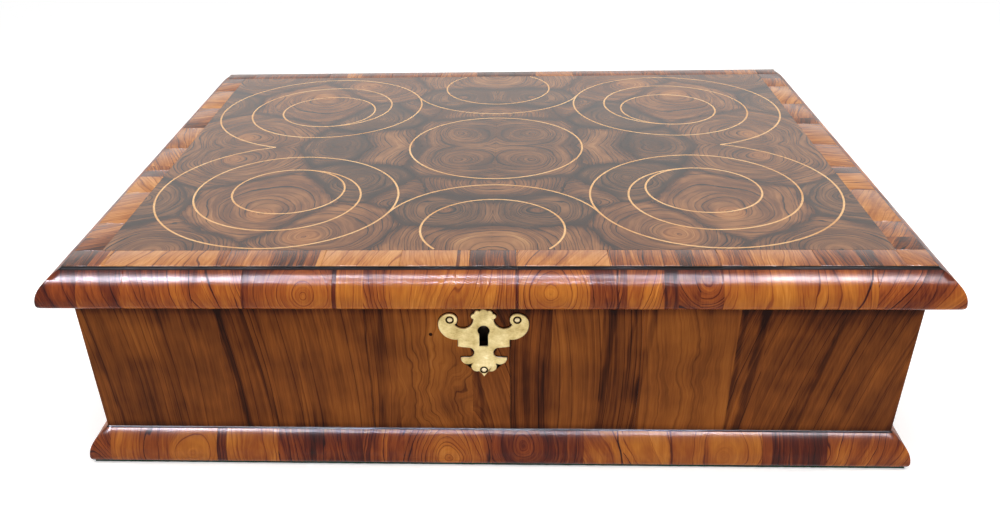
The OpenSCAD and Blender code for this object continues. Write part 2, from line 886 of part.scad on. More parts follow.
module hinge_leaf_case_left() {
    color(brass) translate([-hinge_x, 0, 0]) hinge_leaf_case();
}

module hinge_leaf_case_right() {
    color(brass) translate([hinge_x, 0, 0]) hinge_leaf_case();
}

module hinge_leaf_lid_left() {
    color(brass) translate([-hinge_x, 0, 0]) hinge_leaf_lid();
}

module hinge_leaf_lid_right() {
    color(brass) translate([hinge_x, 0, 0]) hinge_leaf_lid();
}

module hinge_pins() {
    color(brass) hinge_places() at_axis(0, hinge_l, hinge_pin_d);
}

module hinge_screws_case() {
    color(brass) hinge_places() case_screw_places() screw();
}

module hinge_screws_lid() {
    color(brass) hinge_places() lid_screw_places() screw();
}

// Lid boards

module lid_part(y_low, y_high) {
    difference() {
        block([-panel_x, y_low, lid_z], [panel_x, y_high, lid_z + lid_board_t]);
        link_block();
        link_screw_places() screw_body();
        hinge_places() block([-hinge_l / 2, leaf_y, lid_z - over],
                             [hinge_l / 2, case_y + over, lid_z + hinge_leaf_t]);
        hinge_places() lid_screw_places() screw_body();
    }
}

module lid_board_front() {
    color(pine) lid_part(panel_front_y, 0);
}

module lid_board_back() {
    color(pine) lid_part(0, panel_back_y);
}

// Stringing

// Band of a string along an arc about a middle, set into the top veneer
module string_arc(middle, r, from, to, w, t) {
    translate([middle[0], middle[1], lid_top_z - string_t]) rotate([0, 0, from])
        rotate_extrude(angle = to - from) translate([r - w / 2, 0]) square([w, t]);
}

module spiral(w, t) {
    outer = [-spiral_x, -spiral_y];
    inner = [-spiral_x, -spiral_y - spiral_unit];
    r = spiral_turns * spiral_unit;
    cusp = asin(min(1, spiral_y / r[4]));
    string_arc(outer, r[4], 180 - cusp, 270, w, t);
    string_arc(inner, r[3], -90, 90, w, t);
    string_arc(outer, r[2], 90, 270, w, t);
    string_arc(inner, r[1], -90, 90, w, t);
    string_arc(outer, r[0], 0, 360, w, t);
}

module middle_arcs(reach, w, t) {
    end = asin(min(1, (reach - small_arc_y - string_w) / small_arc_r));
    tangent = atan2(big_arc_dy, spiral_x);
    string_arc([0, -small_arc_y], small_arc_r, -end, 180 + end, w, t);
    string_arc([0, -big_arc_y], big_arc_r, tangent, 180 - tangent, w, t);
}

module strings(w, t) {
    translate([0, panel_mid_y, 0]) {
        for (side = [0, 1], turn = [0, 1]) {
            mirror([side, 0, 0]) mirror([0, turn, 0]) spiral(w, t);
        }
        middle_arcs(field_front, w, t);
        mirror([0, 1, 0]) middle_arcs(field_back, w, t);
        string_arc([0, 0], ring_r, 0, 360, w, t);
    }
}

module stringing() {
    color([0.9, 0.72, 0.48]) strings(string_w, string_t);
}

// Oyster veneers: each piece is the part of a quarter of the field that lies
// nearest to its own place, with the squared distance lessened by its reach

function beyond(point, way, limit) = point * way - limit;

// Part of a polygon on the near side of a line
function near_side(points, way, limit) = [
    for (i = [0 : len(points) - 1])
        let (a = points[i], b = points[(i + 1) % len(points)],
             da = beyond(a, way, limit), db = beyond(b, way, limit))
        each concat(da <= 0 ? [a] : [], da * db < 0 ? [a + (b - a) * da / (da - db)] : [])
];

function place(o) = [o[0], o[1]];

function oyster_outline(i, j, points) =
    j == len(oyster_shares) ? points :
    oyster_outline(i, j + 1, j == i || len(points) == 0 ? points :
        let (a = oyster_shares[i], b = oyster_shares[j],
             way = 2 * (place(b) - place(a)) * field_x,
             limit = (norm(place(b)) ^ 2 - b[2] ^ 2 - norm(place(a)) ^ 2 + a[2] ^ 2) * field_x ^ 2)
        near_side(points, way, limit - norm(way) * glue_gap / 2));

// Pieces of the quarter on the right of the middle, toward the back
module oyster_quarter(reach) {
    edge = glue_gap / 2;
    corners = [[edge, edge], [field_x, edge], [field_x, reach], [edge, reach]];
    translate([0, 0, lid_top_z - veneer_t]) for (i = [0 : len(oyster_shares) - 1]) {
        outline = oyster_outline(i, 0, corners);
        if (len(outline) > 2) linear_extrude(veneer_t) polygon(outline);
    }
}

module oysters(side, turn, reach) {
    color(wood_dark) difference() {
        translate([0, panel_mid_y, 0]) mirror([side, 0, 0]) mirror([0, turn, 0]) oyster_quarter(reach);
        strings(string_w, string_t + over);
    }
}

module oysters_front_left() {
    oysters(1, 1, field_front);
}

module oysters_front_right() {
    oysters(0, 1, field_front);
}

module oysters_back_left() {
    oysters(1, 0, field_back);
}

module oysters_back_right() {
    oysters(0, 0, field_back);
}

// Crossbanding: the front and back strips run through, the sides lie between

module crossband_front() {
    color(wood_light) translate([0, panel_front_y, lid_top_z - veneer_t])
        plate_row(panel_x, crossband_front_w, veneer_t, crossband_joint_shares);
}

module crossband_back() {
    color(wood_light) translate([0, field_back_y, lid_top_z - veneer_t])
        plate_row(panel_x, crossband_back_w, veneer_t, crossband_joint_shares);
}

module side_crossband() {
    half = (field_back_y - field_front_y) / 2;
    translate([panel_x, field_front_y + half, lid_top_z - veneer_t]) rotate([0, 0, 90])
        plate_row(half, crossband_side_w, veneer_t, side_crossband_joint_shares);
}

module crossband_left() {
    color(wood_light) mirror([1, 0, 0]) side_crossband();
}

module crossband_right() {
    color(wood_light) side_crossband();
}

// Lid mouldings

module side_lid_moulding() {
    half = (panel_back_y - panel_front_y) / 2;
    translate([panel_x, panel_mid_y, lid_z]) rotate([0, 0, 90])
        moulding_run(half, lid_moulding_out, lid_h, side_joint_shares, true, false) lid_section();
}

module lid_moulding_front() {
    color(wood_mid) translate([0, panel_front_y, lid_z])
        moulding_run(panel_x, lid_moulding_out, lid_h, lid_joint_shares, true, true) lid_section();
}

module lid_moulding_left() {
    color(wood_mid) mirror([1, 0, 0]) side_lid_moulding();
}

module lid_moulding_right() {
    color(wood_mid) side_lid_moulding();
}

bottom_board_front();
bottom_board_back();
front_board();
back_board();
left_board();
right_board();
front_veneer();
left_veneer();
right_veneer();
rim_facing_front();
rim_facing_back();
rim_facing_left();
rim_facing_right();
base_moulding_front();
base_moulding_left();
base_moulding_right();
baize();
bottom_nails();
lining_floor();
lining_walls();
lining_lid();
escutcheon();
escutcheon_pins();
lock_plate();
lock_guides();
lock_drill_pin();
lock_spring();
lock_screws();
lock_bolt();
link_plate();
link_tongues();
link_screws();
hinge_leaf_case_left();
hinge_leaf_case_right();
hinge_leaf_lid_left();
hinge_leaf_lid_right();
hinge_pins();
hinge_screws_case();
hinge_screws_lid();
lid_board_front();
lid_board_back();
oysters_front_left();
oysters_front_right();
oysters_back_left();
oysters_back_right();
crossband_front();
crossband_back();
crossband_left();
crossband_right();
stringing();
lid_moulding_front();
lid_moulding_left();
lid_moulding_right();
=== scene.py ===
"""Looks of a veneered wooden box: olivewood oysters, crossbanding and cushion mouldings on a pine carcase."""

import json
import logging
import math
import random
from dataclasses import dataclass, replace
from enum import Enum
from typing import Callable, Sequence

import bmesh
import bpy
from mathutils import Matrix, Vector, noise

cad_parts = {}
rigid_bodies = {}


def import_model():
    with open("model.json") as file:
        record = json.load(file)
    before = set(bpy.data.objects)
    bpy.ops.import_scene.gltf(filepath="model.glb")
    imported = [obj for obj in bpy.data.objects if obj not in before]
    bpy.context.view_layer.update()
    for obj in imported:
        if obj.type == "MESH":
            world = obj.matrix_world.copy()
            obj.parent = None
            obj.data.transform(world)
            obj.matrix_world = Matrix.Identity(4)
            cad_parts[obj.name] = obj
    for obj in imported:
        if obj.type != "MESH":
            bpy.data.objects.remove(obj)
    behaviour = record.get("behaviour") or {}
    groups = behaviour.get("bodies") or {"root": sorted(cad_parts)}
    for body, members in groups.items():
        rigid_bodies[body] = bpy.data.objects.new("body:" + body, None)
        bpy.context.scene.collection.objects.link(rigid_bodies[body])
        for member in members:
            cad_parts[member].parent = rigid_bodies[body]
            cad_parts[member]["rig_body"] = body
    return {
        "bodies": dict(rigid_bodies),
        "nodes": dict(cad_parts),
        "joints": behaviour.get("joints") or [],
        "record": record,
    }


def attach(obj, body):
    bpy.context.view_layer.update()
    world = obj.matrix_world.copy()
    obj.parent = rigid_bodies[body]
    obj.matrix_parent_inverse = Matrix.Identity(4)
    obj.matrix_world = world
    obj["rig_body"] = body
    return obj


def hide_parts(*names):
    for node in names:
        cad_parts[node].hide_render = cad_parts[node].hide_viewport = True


log = logging.getLogger("box")

MM = 0.001

# Levels and faces of the part, in millimetres, as in its source
LID_TOP_Z = 138.5
LID_Z = 117.5
RIM_Z = 117.2
CASE_FLOOR_Z = 1.4
CASE_X = 250.0
CASE_Y = 194.5
PANEL_X = 251.0
PANEL_Y = 195.0
PANEL_MID_Y = -0.5
FIELD_X = 233.5
KEY_X = -4.65
KEY_Z = 88.0
ESCUTCHEON_Z = 62.6
ESCUTCHEON_H = 47.3
# The escutcheon's pins, as shares of its height from the middle of its foot
PIN_SHARES = ((-0.423, 0.849), (0.423, 0.849), (0.0, 0.1015))
# Two levels nearer to each other than this count as one
TOUCH = 0.01

Socket = bpy.types.NodeSocket
# What a node's socket takes: a link from another socket, or a plain value
Feed = bpy.types.NodeSocket | float | tuple[float, ...]
# What a new node gives: one of its outputs, or several
Found = bpy.types.NodeSocket | list[bpy.types.NodeSocket]

# The setting that holds the mode of a kind of node
MODES = {
    "Math": "operation",
    "VectorMath": "operation",
    "MapRange": "interpolation_type",
    "Mix": "data_type",
    "TexNoise": "noise_dimensions",
}


class Axis(Enum):
    """Axis of the part that a piece runs along."""

    ALONG_X = 0
    ALONG_Y = 1


def linear(code: str) -> tuple[float, float, float, float]:
    """Turns an sRGB hex code into a linear colour.

    Args:
        code: six hex digits with a leading hash sign.

    Returns:
        Red, green, blue and an alpha of one, for a shader's socket.
    """
    channels = [int(code[i : i + 2], 16) / 255 for i in (1, 3, 5)]
    light = [c / 12.92 if c <= 0.04045 else ((c + 0.055) / 1.055) ** 2.4 for c in channels]
    return (light[0], light[1], light[2], 1.0)


def add_object(name: str, data: bpy.types.ID) -> bpy.types.Object:
    """Puts a new object in the scene.

    Args:
        name: its name.
        data: its mesh, lamp or camera.

    Returns:
        The object.
    """
    made = bpy.data.objects.new(name, data)
    bpy.context.scene.collection.objects.link(made)
    return made


class Graph:
    """Node tree of one material, or of the world."""

    def __init__(self, name: str, owner: bpy.types.World | None = None) -> None:
        """Starts an empty tree.

        Args:
            name: name of the new material.
            owner: the world, if the tree is the world's and no material is made.
        """
        self.material = owner or bpy.data.materials.new(name)
        self.material.use_nodes = True
        self.tree = self.material.node_tree
        self.tree.nodes.clear()

    def add(self, kind: str, *feeds: Feed, out: int | str | slice = 0, **named: Feed) -> Found:
        """Adds a node with its settings and links.

        Args:
            kind: the node's type without the leading ShaderNode, and its mode after a colon.
            *feeds: sockets or plain values, in the order of the sockets that the node shows.
            out: which of the outputs that it shows is wanted, by place or name, or a slice for several.
            **named: sockets or plain values by name, with underscores for spaces.

        Returns:
            What is wanted of the outputs, or the node where it has none.
        """
        kind, _, mode = kind.partition(":")
        made = self.tree.nodes.new("ShaderNode" + kind)
        if mode:
            setattr(made, MODES[kind], mode)
        fed = list(zip([socket for socket in made.inputs if socket.enabled], feeds))
        fed += [(made.inputs[name.replace("_", " ")], feed) for name, feed in named.items()]
        for socket, feed in fed:
            if isinstance(feed, Socket):
                self.tree.links.new(feed, socket)
            else:
                socket.default_value = feed
        if isinstance(out, str):
            return made.outputs[out]
        shown = [socket for socket in made.outputs if socket.enabled]
        return shown[out] if shown else made

    def tones(self, level: Socket, codes: Sequence[str]) -> Socket:
        """Spreads colours evenly over a level from 0 to 1.

        Args:
            level: the level.
            codes: hex colours from dark to light.

        Returns:
            The colour.
        """
        ramp = self.add("ValToRGB", level)
        stops = ramp.node.color_ramp.elements
        last = len(codes) - 1
        for i, code in enumerate(codes):
            stop = stops[0] if i == 0 else stops[-1] if i == last else stops.new(i / last)
            stop.color = linear(code)
        return ramp

    def place(self) -> Socket:
        """Adds the place on the part, in millimetres."""
        return self.add("VectorMath:SCALE", self.add("TexCoord", out="Object"), 1 / MM)

    def sway(self, place: Socket, span_mm: float, octaves: float, reach_mm: float, *seed: Feed) -> Socket:
        """Adds a soft shift in the veneer's plane, by which a figure bends.

        Args:
            place: the place.
            span_mm: size of the largest bends.
            octaves: how many finer bends lie in them.
            reach_mm: twice the farthest shift.
            *seed: what makes one slice differ from another, or nothing.

        Returns:
            The shift.
        """
        kind = "TexNoise:4D" if seed else "TexNoise:3D"
        cloud = self.add(kind, place, *seed, 1 / span_mm, octaves, out="Color")
        centred = self.add("VectorMath:SUBTRACT", cloud, (0.5, 0.5, 0.5))
        return self.add("VectorMath:MULTIPLY", centred, (reach_mm, reach_mm, 0.0))

    def reach(self, place: Feed, centre: Feed, counts: tuple[float, ...] = (1.0, 1.0, 1.0)) -> Socket:
        """Measures how far a place is from a centre.

        Args:
            place: the place.
            centre: the centre.
            counts: how much each axis counts.

        Returns:
            The distance.
        """
        away = self.add("VectorMath:SUBTRACT", place, centre)
        return self.add("VectorMath:LENGTH", self.add("VectorMath:MULTIPLY", away, counts))

    def total(self, *terms: tuple[Feed, float], start: float = 0.0) -> Socket:
        """Sums sockets, each given with its factor.

        Args:
            *terms: pairs of a socket and the factor that it is multiplied by.
            start: what the sum starts from.

        Returns:
            The sum.
        """
        result: Feed = start
        for value, factor in terms:
            result = self.add("Math:MULTIPLY_ADD", value, factor, result)
        return result

    def surface(
        self, colour: Feed, roughness: Feed, relief: Socket | None = None, depth_mm: float = 0.0, **more: Feed
    ) -> bpy.types.Material:
        """Closes the tree with a Principled surface.

        Args:
            colour: the base colour.
            roughness: the roughness.
            relief: the height from 0 to 1, if the surface has relief.
            depth_mm: height that a relief of 1 stands for.
            **more: other sockets by name, with underscores for spaces.

        Returns:
            The finished material.
        """
        if relief is not None:
            more["Normal"] = self.add("Bump", Height=relief, Distance=depth_mm * MM, Strength=1.0)
        shader = self.add("BsdfPrincipled", Base_Color=colour, Roughness=roughness, **more)
        self.add("OutputMaterial", shader)
        return self.material


# Growth rings


@dataclass(frozen=True)
class Layer:
    """One scale of the figure: how fast it changes across and along the rings, and how rough it is."""

    across: float
    along: float
    octaves: float
    rough: float


# How the space between rings changes, the broad bands of light and dark wood, and the fine fibre
CROWDING = Layer(0.28, 1.0, 1.0, 0.5)
BANDS = Layer(0.4, 1.0, 4.0, 0.7)
FIBRE = Layer(3.2, 2.0, 2.5, 0.65)


@dataclass(frozen=True)
class Growth:
    """How growth rings show in a slice of olivewood.

    Olive has thin dark lines of uneven strength in a paler ground. They bend, crowd together and fade out.
    """

    bend_mm: float
    bend_span_mm: float
    fade_mm: float = 55.0
    crowding: float = 1.5
    # How unevenly strength is shared out, and how late in a ring its wood darkens
    luck: float = 1.3
    lateness: float = 3.0
    # Where in a ring the thin line comes up and breaks off, as shares of the ring
    line_rise: tuple[float, float] = (0.8, 0.89)
    line_fall: tuple[float, float] = (0.93, 1.0)

    def rings(
        self,
        g: Graph,
        flat: Socket,
        centre: Socket,
        ring_mm: Socket,
        seed: Socket,
        lean: Socket | None = None,
        curl: Feed = 1.0,
    ) -> tuple[Socket, Socket, Socket]:
        """Adds the rings round a pith.

        Args:
            g: graph of the material.
            flat: place on the veneer's own plane, in millimetres, its third value 0.
            centre: the pith's place on that plane.
            ring_mm: usual space between two rings.
            seed: what makes one slice differ from the next.
            lean: the way in which the rings crowd together, if the pith is off the middle.
            curl: how many times more than usual the rings bend.

        Returns:
            The dark line, the broad band and the fine fibre, each from 0 to 1.
        """
        bend = g.sway(flat, self.bend_span_mm, 3.5, 3 * self.bend_mm, seed)
        bend = g.add("VectorMath:SCALE", bend, curl)
        away = g.add("VectorMath:ADD", g.add("VectorMath:SUBTRACT", flat, centre), bend)
        reach = g.add("VectorMath:LENGTH", away)
        if lean is not None:
            reach = g.add("Math:ADD", reach, g.add("VectorMath:DOT_PRODUCT", away, lean))
        count = g.add("Math:DIVIDE", reach, ring_mm)
        count = g.total((self._layer(g, flat, count, seed, CROWDING), 3 * self.crowding), (count, 1.0))
        ring = g.add("CombineXYZ", g.add("Math:FLOOR", count), seed, 0.0)
        strength = g.add("Math:POWER", g.add("TexWhiteNoise", ring), self.luck)
        # A ring darkens slowly toward its edge, where a thin line ends it
        share = g.add("Math:FRACT", count)
        late = g.add("Math:POWER", share, self.lateness)
        thin = g.add("MapRange:SMOOTHSTEP", share, *self.line_rise, 0.0, 1.0)
        end = g.add("MapRange:SMOOTHSTEP", share, *self.line_fall, 1.0, 0.0)
        line = g.add("Math:MULTIPLY", g.total((late, 0.3), (thin, 0.8)), end)
        line = g.add("Math:MULTIPLY", line, strength)
        return line, self._layer(g, flat, count, seed, BANDS), self._layer(g, flat, count, seed, FIBRE)

    def _layer(self, g: Graph, flat: Socket, count: Socket, seed: Socket, layer: Layer) -> Socket:
        """Adds a noise that is stretched along the rings.

        Args:
            g: graph of the material.
            flat: place on the veneer.
            count: how many rings away from the pith.
            seed: what makes one slice differ from the next.
            layer: the scale of the noise.

        Returns:
            The noise, from 0 to 1.
        """
        spread = g.add("VectorMath:SCALE", flat, layer.along / self.fade_mm)
        up = g.add("CombineXYZ", 0.0, 0.0, g.add("Math:MULTIPLY", count, layer.across))
        place = g.add("VectorMath:ADD", spread, up)
        return g.add("TexNoise:4D", place, seed, 1.0, layer.octaves, layer.rough)


# Finishes


@dataclass(frozen=True)
class Oyster:
    """One oyster of a quarter of the lid: its place, its pith and its tone."""

    x: float
    y: float
    reach: float
    pith_x: float
    pith_y: float
    ring_mm: float
    tone: float
    heart_mm: float
    warmth: float
    lean_x: float = 0.0
    lean_y: float = 0.0


# Places and reaches as shares of the field's half width, as in the source.
# Piths in millimetres from the middle of the lid, toward a corner.
OYSTERS = (
    Oyster(0.642, 0.445, 0.180, 150, 124, 3.6, 0.51, 10, 0.32, 0.10, 0.42),
    Oyster(0.981, 0.428, 0.034, 236, 99, 3.6, 0.40, 0, 0.10),
    Oyster(0.797, 0.128, 0.180, 192, 23, 3.2, 0.49, 8, 0.25, 0.25, 0.05),
    Oyster(0.398, 0.291, 0.111, 92, 62, 3.2, 0.33, 0, 0.05, 0.0, -0.2),
    Oyster(0.510, 0.000, 0.094, 119, 3, 3.6, 0.36, 0, 0.10),
    Oyster(0.351, 0.060, 0.026, 20, 34, 3.2, 0.53, 0, 0.20),
    Oyster(0.428, 0.625, 0.154, 116, 154, 2.4, 0.48, 12, 0.30, 0.30, 0.30),
    Oyster(0.857, 0.732, 0.086, 203, 178, 2.8, 0.47, 0, 0.25),
    Oyster(0.146, 0.737, 0.143, 0, 186, 2.2, 0.57, 0, 0.30, 0.0, 0.4),
    Oyster(0.146, 0.505, 0.111, 28, 118, 2.6, 0.36, 3, 0.10, -0.2, 0.1),
    Oyster(0.128, 0.360, 0.026, 0, 70, 2.4, 0.54, 0, 0.25),
    Oyster(0.116, 0.128, 0.120, 27, 28, 3.0, 0.45, 0, 0.20, 0.3, 0.1),
    Oyster(0.257, 0.394, 0.017, 64, 104, 2.2, 0.54, 0, 0.25),
)

# Olivewood, sawn across the branch and darkened by age: grey umber to dull gold
OYSTER_TONES = ("#17100b", "#39271a", "#62432b", "#8a613f", "#b08558")
# Olivewood sawn along the grain, lighter and more orange
BAND_TONES = ("#24120a", "#54290f", "#8f4e1f", "#bd7a38", "#d89b58")
# The same with a redder polish
RED_TONES = ("#1f0d09", "#431a0d", "#7a3518", "#a8582a", "#c67a45")
# The mouldings, whose polish has turned deep orange
CUSHION_TONES = ("#34120a", "#6f2f12", "#a85a20", "#d0822c", "#f0a84a")
CUSHION_RED_TONES = ("#2e0d08", "#5c1e0e", "#924018", "#bb6424", "#dc8c3c")
# The walls of the case, a browner wood
CASE_TONES = ("#27120a", "#5b3018", "#8b4f22", "#b06a2c", "#ca8840")
CASE_RED_TONES = ("#220d09", "#50240f", "#7e411c", "#a05624", "#b97434")
# Black of the deepest painted shade, in the gaps between parts
SHADE_BLACK = "#0c0808"


@dataclass(frozen=True)
class OysterVeneer:
    """Olivewood oysters under an old polish, which gives thin dark rings and a soft grey reflection."""

    growth: Growth = Growth(bend_mm=4.0, bend_span_mm=45.0)
    sister_span_mm: float = 60.0
    sister_bend_mm: float = 12.0
    bark_span_mm: float = 26.0
    bark_bend_mm: float = 16.0
    heart_ragged_mm: float = 7.0
    heart_soft_mm: float = 1.5
    rim_fade: float = 900.0
    joint_fade: tuple[float, float] = (8.0, 34.0)
    cloud_mm: float = 38.0
    smear_mm: float = 70.0
    smearing: tuple[float, float] = (0.3, 0.75)
    gloss: tuple[float, float] = (0.17, 0.27)
    relief_mm: float = 0.05

    def dress(self) -> bpy.types.Material:
        """Makes the material of all four quarters.

        Returns:
            The material, whose pattern follows the place on the lid.
        """
        g = Graph("olivewood_oysters_polished")
        shifted = g.add("VectorMath:ADD", g.place(), (0.0, -PANEL_MID_Y, 0.0))
        flat = g.add("VectorMath:MULTIPLY", shifted, (1.0, 1.0, 0.0))
        # Sister slices are nearly alike, so the figure is mirrored and then bent a little
        mirrored = g.add("VectorMath:ABSOLUTE", flat)
        bend = g.sway(flat, self.sister_span_mm, 1.0, self.sister_bend_mm)
        figure = g.add("VectorMath:ADD", mirrored, bend)
        # The bark edge of a slice is never straight
        uneven = g.sway(mirrored, self.bark_span_mm, 2.0, self.bark_bend_mm)
        pith, traits, lean, edge = self._nearest(g, g.add("VectorMath:ADD", mirrored, uneven))
        tone, heart_mm, warmth = g.add("SeparateXYZ", traits, out=slice(3))
        pith_x, pith_y, ring_mm = g.add("SeparateXYZ", pith, out=slice(3))
        centre = g.add("CombineXYZ", pith_x, pith_y, 0.0)
        seed = g.add("SeparateXYZ", lean, out=2)
        line, broad, fibre = self.growth.rings(g, figure, centre, ring_mm, seed, lean)
        reach = g.reach(figure, centre)
        away = g.total((broad, self.heart_ragged_mm), (reach, 1.0), start=-self.heart_ragged_mm / 2)
        heart = g.add("Math:SUBTRACT", heart_mm, away)
        heart = g.add("MapRange:SMOOTHSTEP", heart, -self.heart_soft_mm, self.heart_soft_mm, 0.0, 1.0)
        calm = g.total((heart, -0.6), start=1.0)
        rim = g.add("MapRange:SMOOTHSTEP", edge, 0.0, self.rim_fade, 1.0, 0.0)
        cloud = g.add("TexNoise", flat, 1 / self.cloud_mm, 2.0)
        level = g.total(
            (tone, 1.0),
            (broad, 1.2),
            (g.add("Math:MULTIPLY", line, calm), -1.15),
            (fibre, 0.36),
            (heart, 0.14),
            (g.add("Math:MULTIPLY", rim, broad), -0.55),
            (cloud, 0.4),
            (g.add("MapRange", edge, *self.joint_fade, 1.0, 0.0), -0.4),
            start=-0.91,
        )
        warm = g.total((heart, 0.225), (warmth, 0.9))
        colour = g.add("Mix:RGBA", warm, g.tones(level, OYSTER_TONES), g.tones(level, BAND_TONES))
        smears = g.add("TexNoise", flat, 1 / self.smear_mm, 4.0)
        roughness = g.add("MapRange", smears, *self.smearing, *self.gloss)
        return g.surface(colour, roughness, g.total((line, -0.5), (cloud, 1.0)), self.relief_mm)

    def _nearest(self, g: Graph, mirrored: Socket) -> tuple[Socket, Socket, Socket, Socket]:
        """Finds which oyster a place belongs to, by the same rule as the source.

        Args:
            g: graph of the material.
            mirrored: place in the quarter.

        Returns:
            The pith with its ring space, then tone, heart and warmth, then the rings' lean with the seed,
            and last how far the next oyster is, as a difference of squares.
        """
        best: Feed = 1e6
        second: Feed = 2e6
        found: list[Feed] = [(0.0, 0.0, 1.0), (0.0, 0.0, 0.0), (0.0, 0.0, 0.0)]
        for i, o in enumerate(OYSTERS):
            gap = g.add("VectorMath:SUBTRACT", mirrored, (o.x * FIELD_X, o.y * FIELD_X, 0.0))
            power = g.add("VectorMath:DOT_PRODUCT", gap, gap)
            power = g.add("Math:SUBTRACT", power, (o.reach * FIELD_X) ** 2)
            nearer = g.add("Math:LESS_THAN", power, best)
            second = g.add("Math:MINIMUM", second, g.add("Math:MAXIMUM", power, best))
            best = g.add("Math:MINIMUM", power, best)
            # The third value of the lean meets a zero, so it carries the seed
            rows = (
                (o.pith_x, o.pith_y, o.ring_mm),
                (o.tone, o.heart_mm, o.warmth),
                (o.lean_x, o.lean_y, 3.7 * i + 1.0),
            )
            found = [g.add("Mix:VECTOR", nearer, old, new) for old, new in zip(found, rows)]
        return found[0], found[1], found[2], g.add("Math:SUBTRACT", second, best)


@dataclass(frozen=True)
class Leaf:
    """One length of veneer, or a band of colour in it, with the place of its pith.

    The pith is given along the run and across it. A pith far off gives straight grain. Round a pith in the
    leaf, the wood is palest within the heart and darkens to twice its size.
    """

    start: float
    tone: float
    warmth: float
    pith_along: float
    pith_across: float
    ring_mm: float
    contrast: float = 1.0
    heart_mm: float = 0.0


@dataclass(frozen=True)
class Streak:
    """A dark line across a veneer, from its place at the bottom to its place at the top."""

    low: float
    high: float
    width: float
    depth: float


@dataclass(frozen=True)
class PaintedShade:
    """Painted shade that darkens a strip of a surface between two heights: a shadow under an overhang, and
    the shade where two parts meet.
    """

    low: float
    high: float
    soft: float
    depth: float = 1.0


@dataclass(frozen=True)
class DarkSpot:
    """A black spot in a veneer: a knot, and round the mouth of a hole, painted shade."""

    along: float
    across: float
    radius: float


@dataclass(frozen=True)
class Curl:
    """A place where the grain bends into closed, wavy lines."""

    along: float
    across: float
    reach_along: float
    reach_across: float
    strength: float


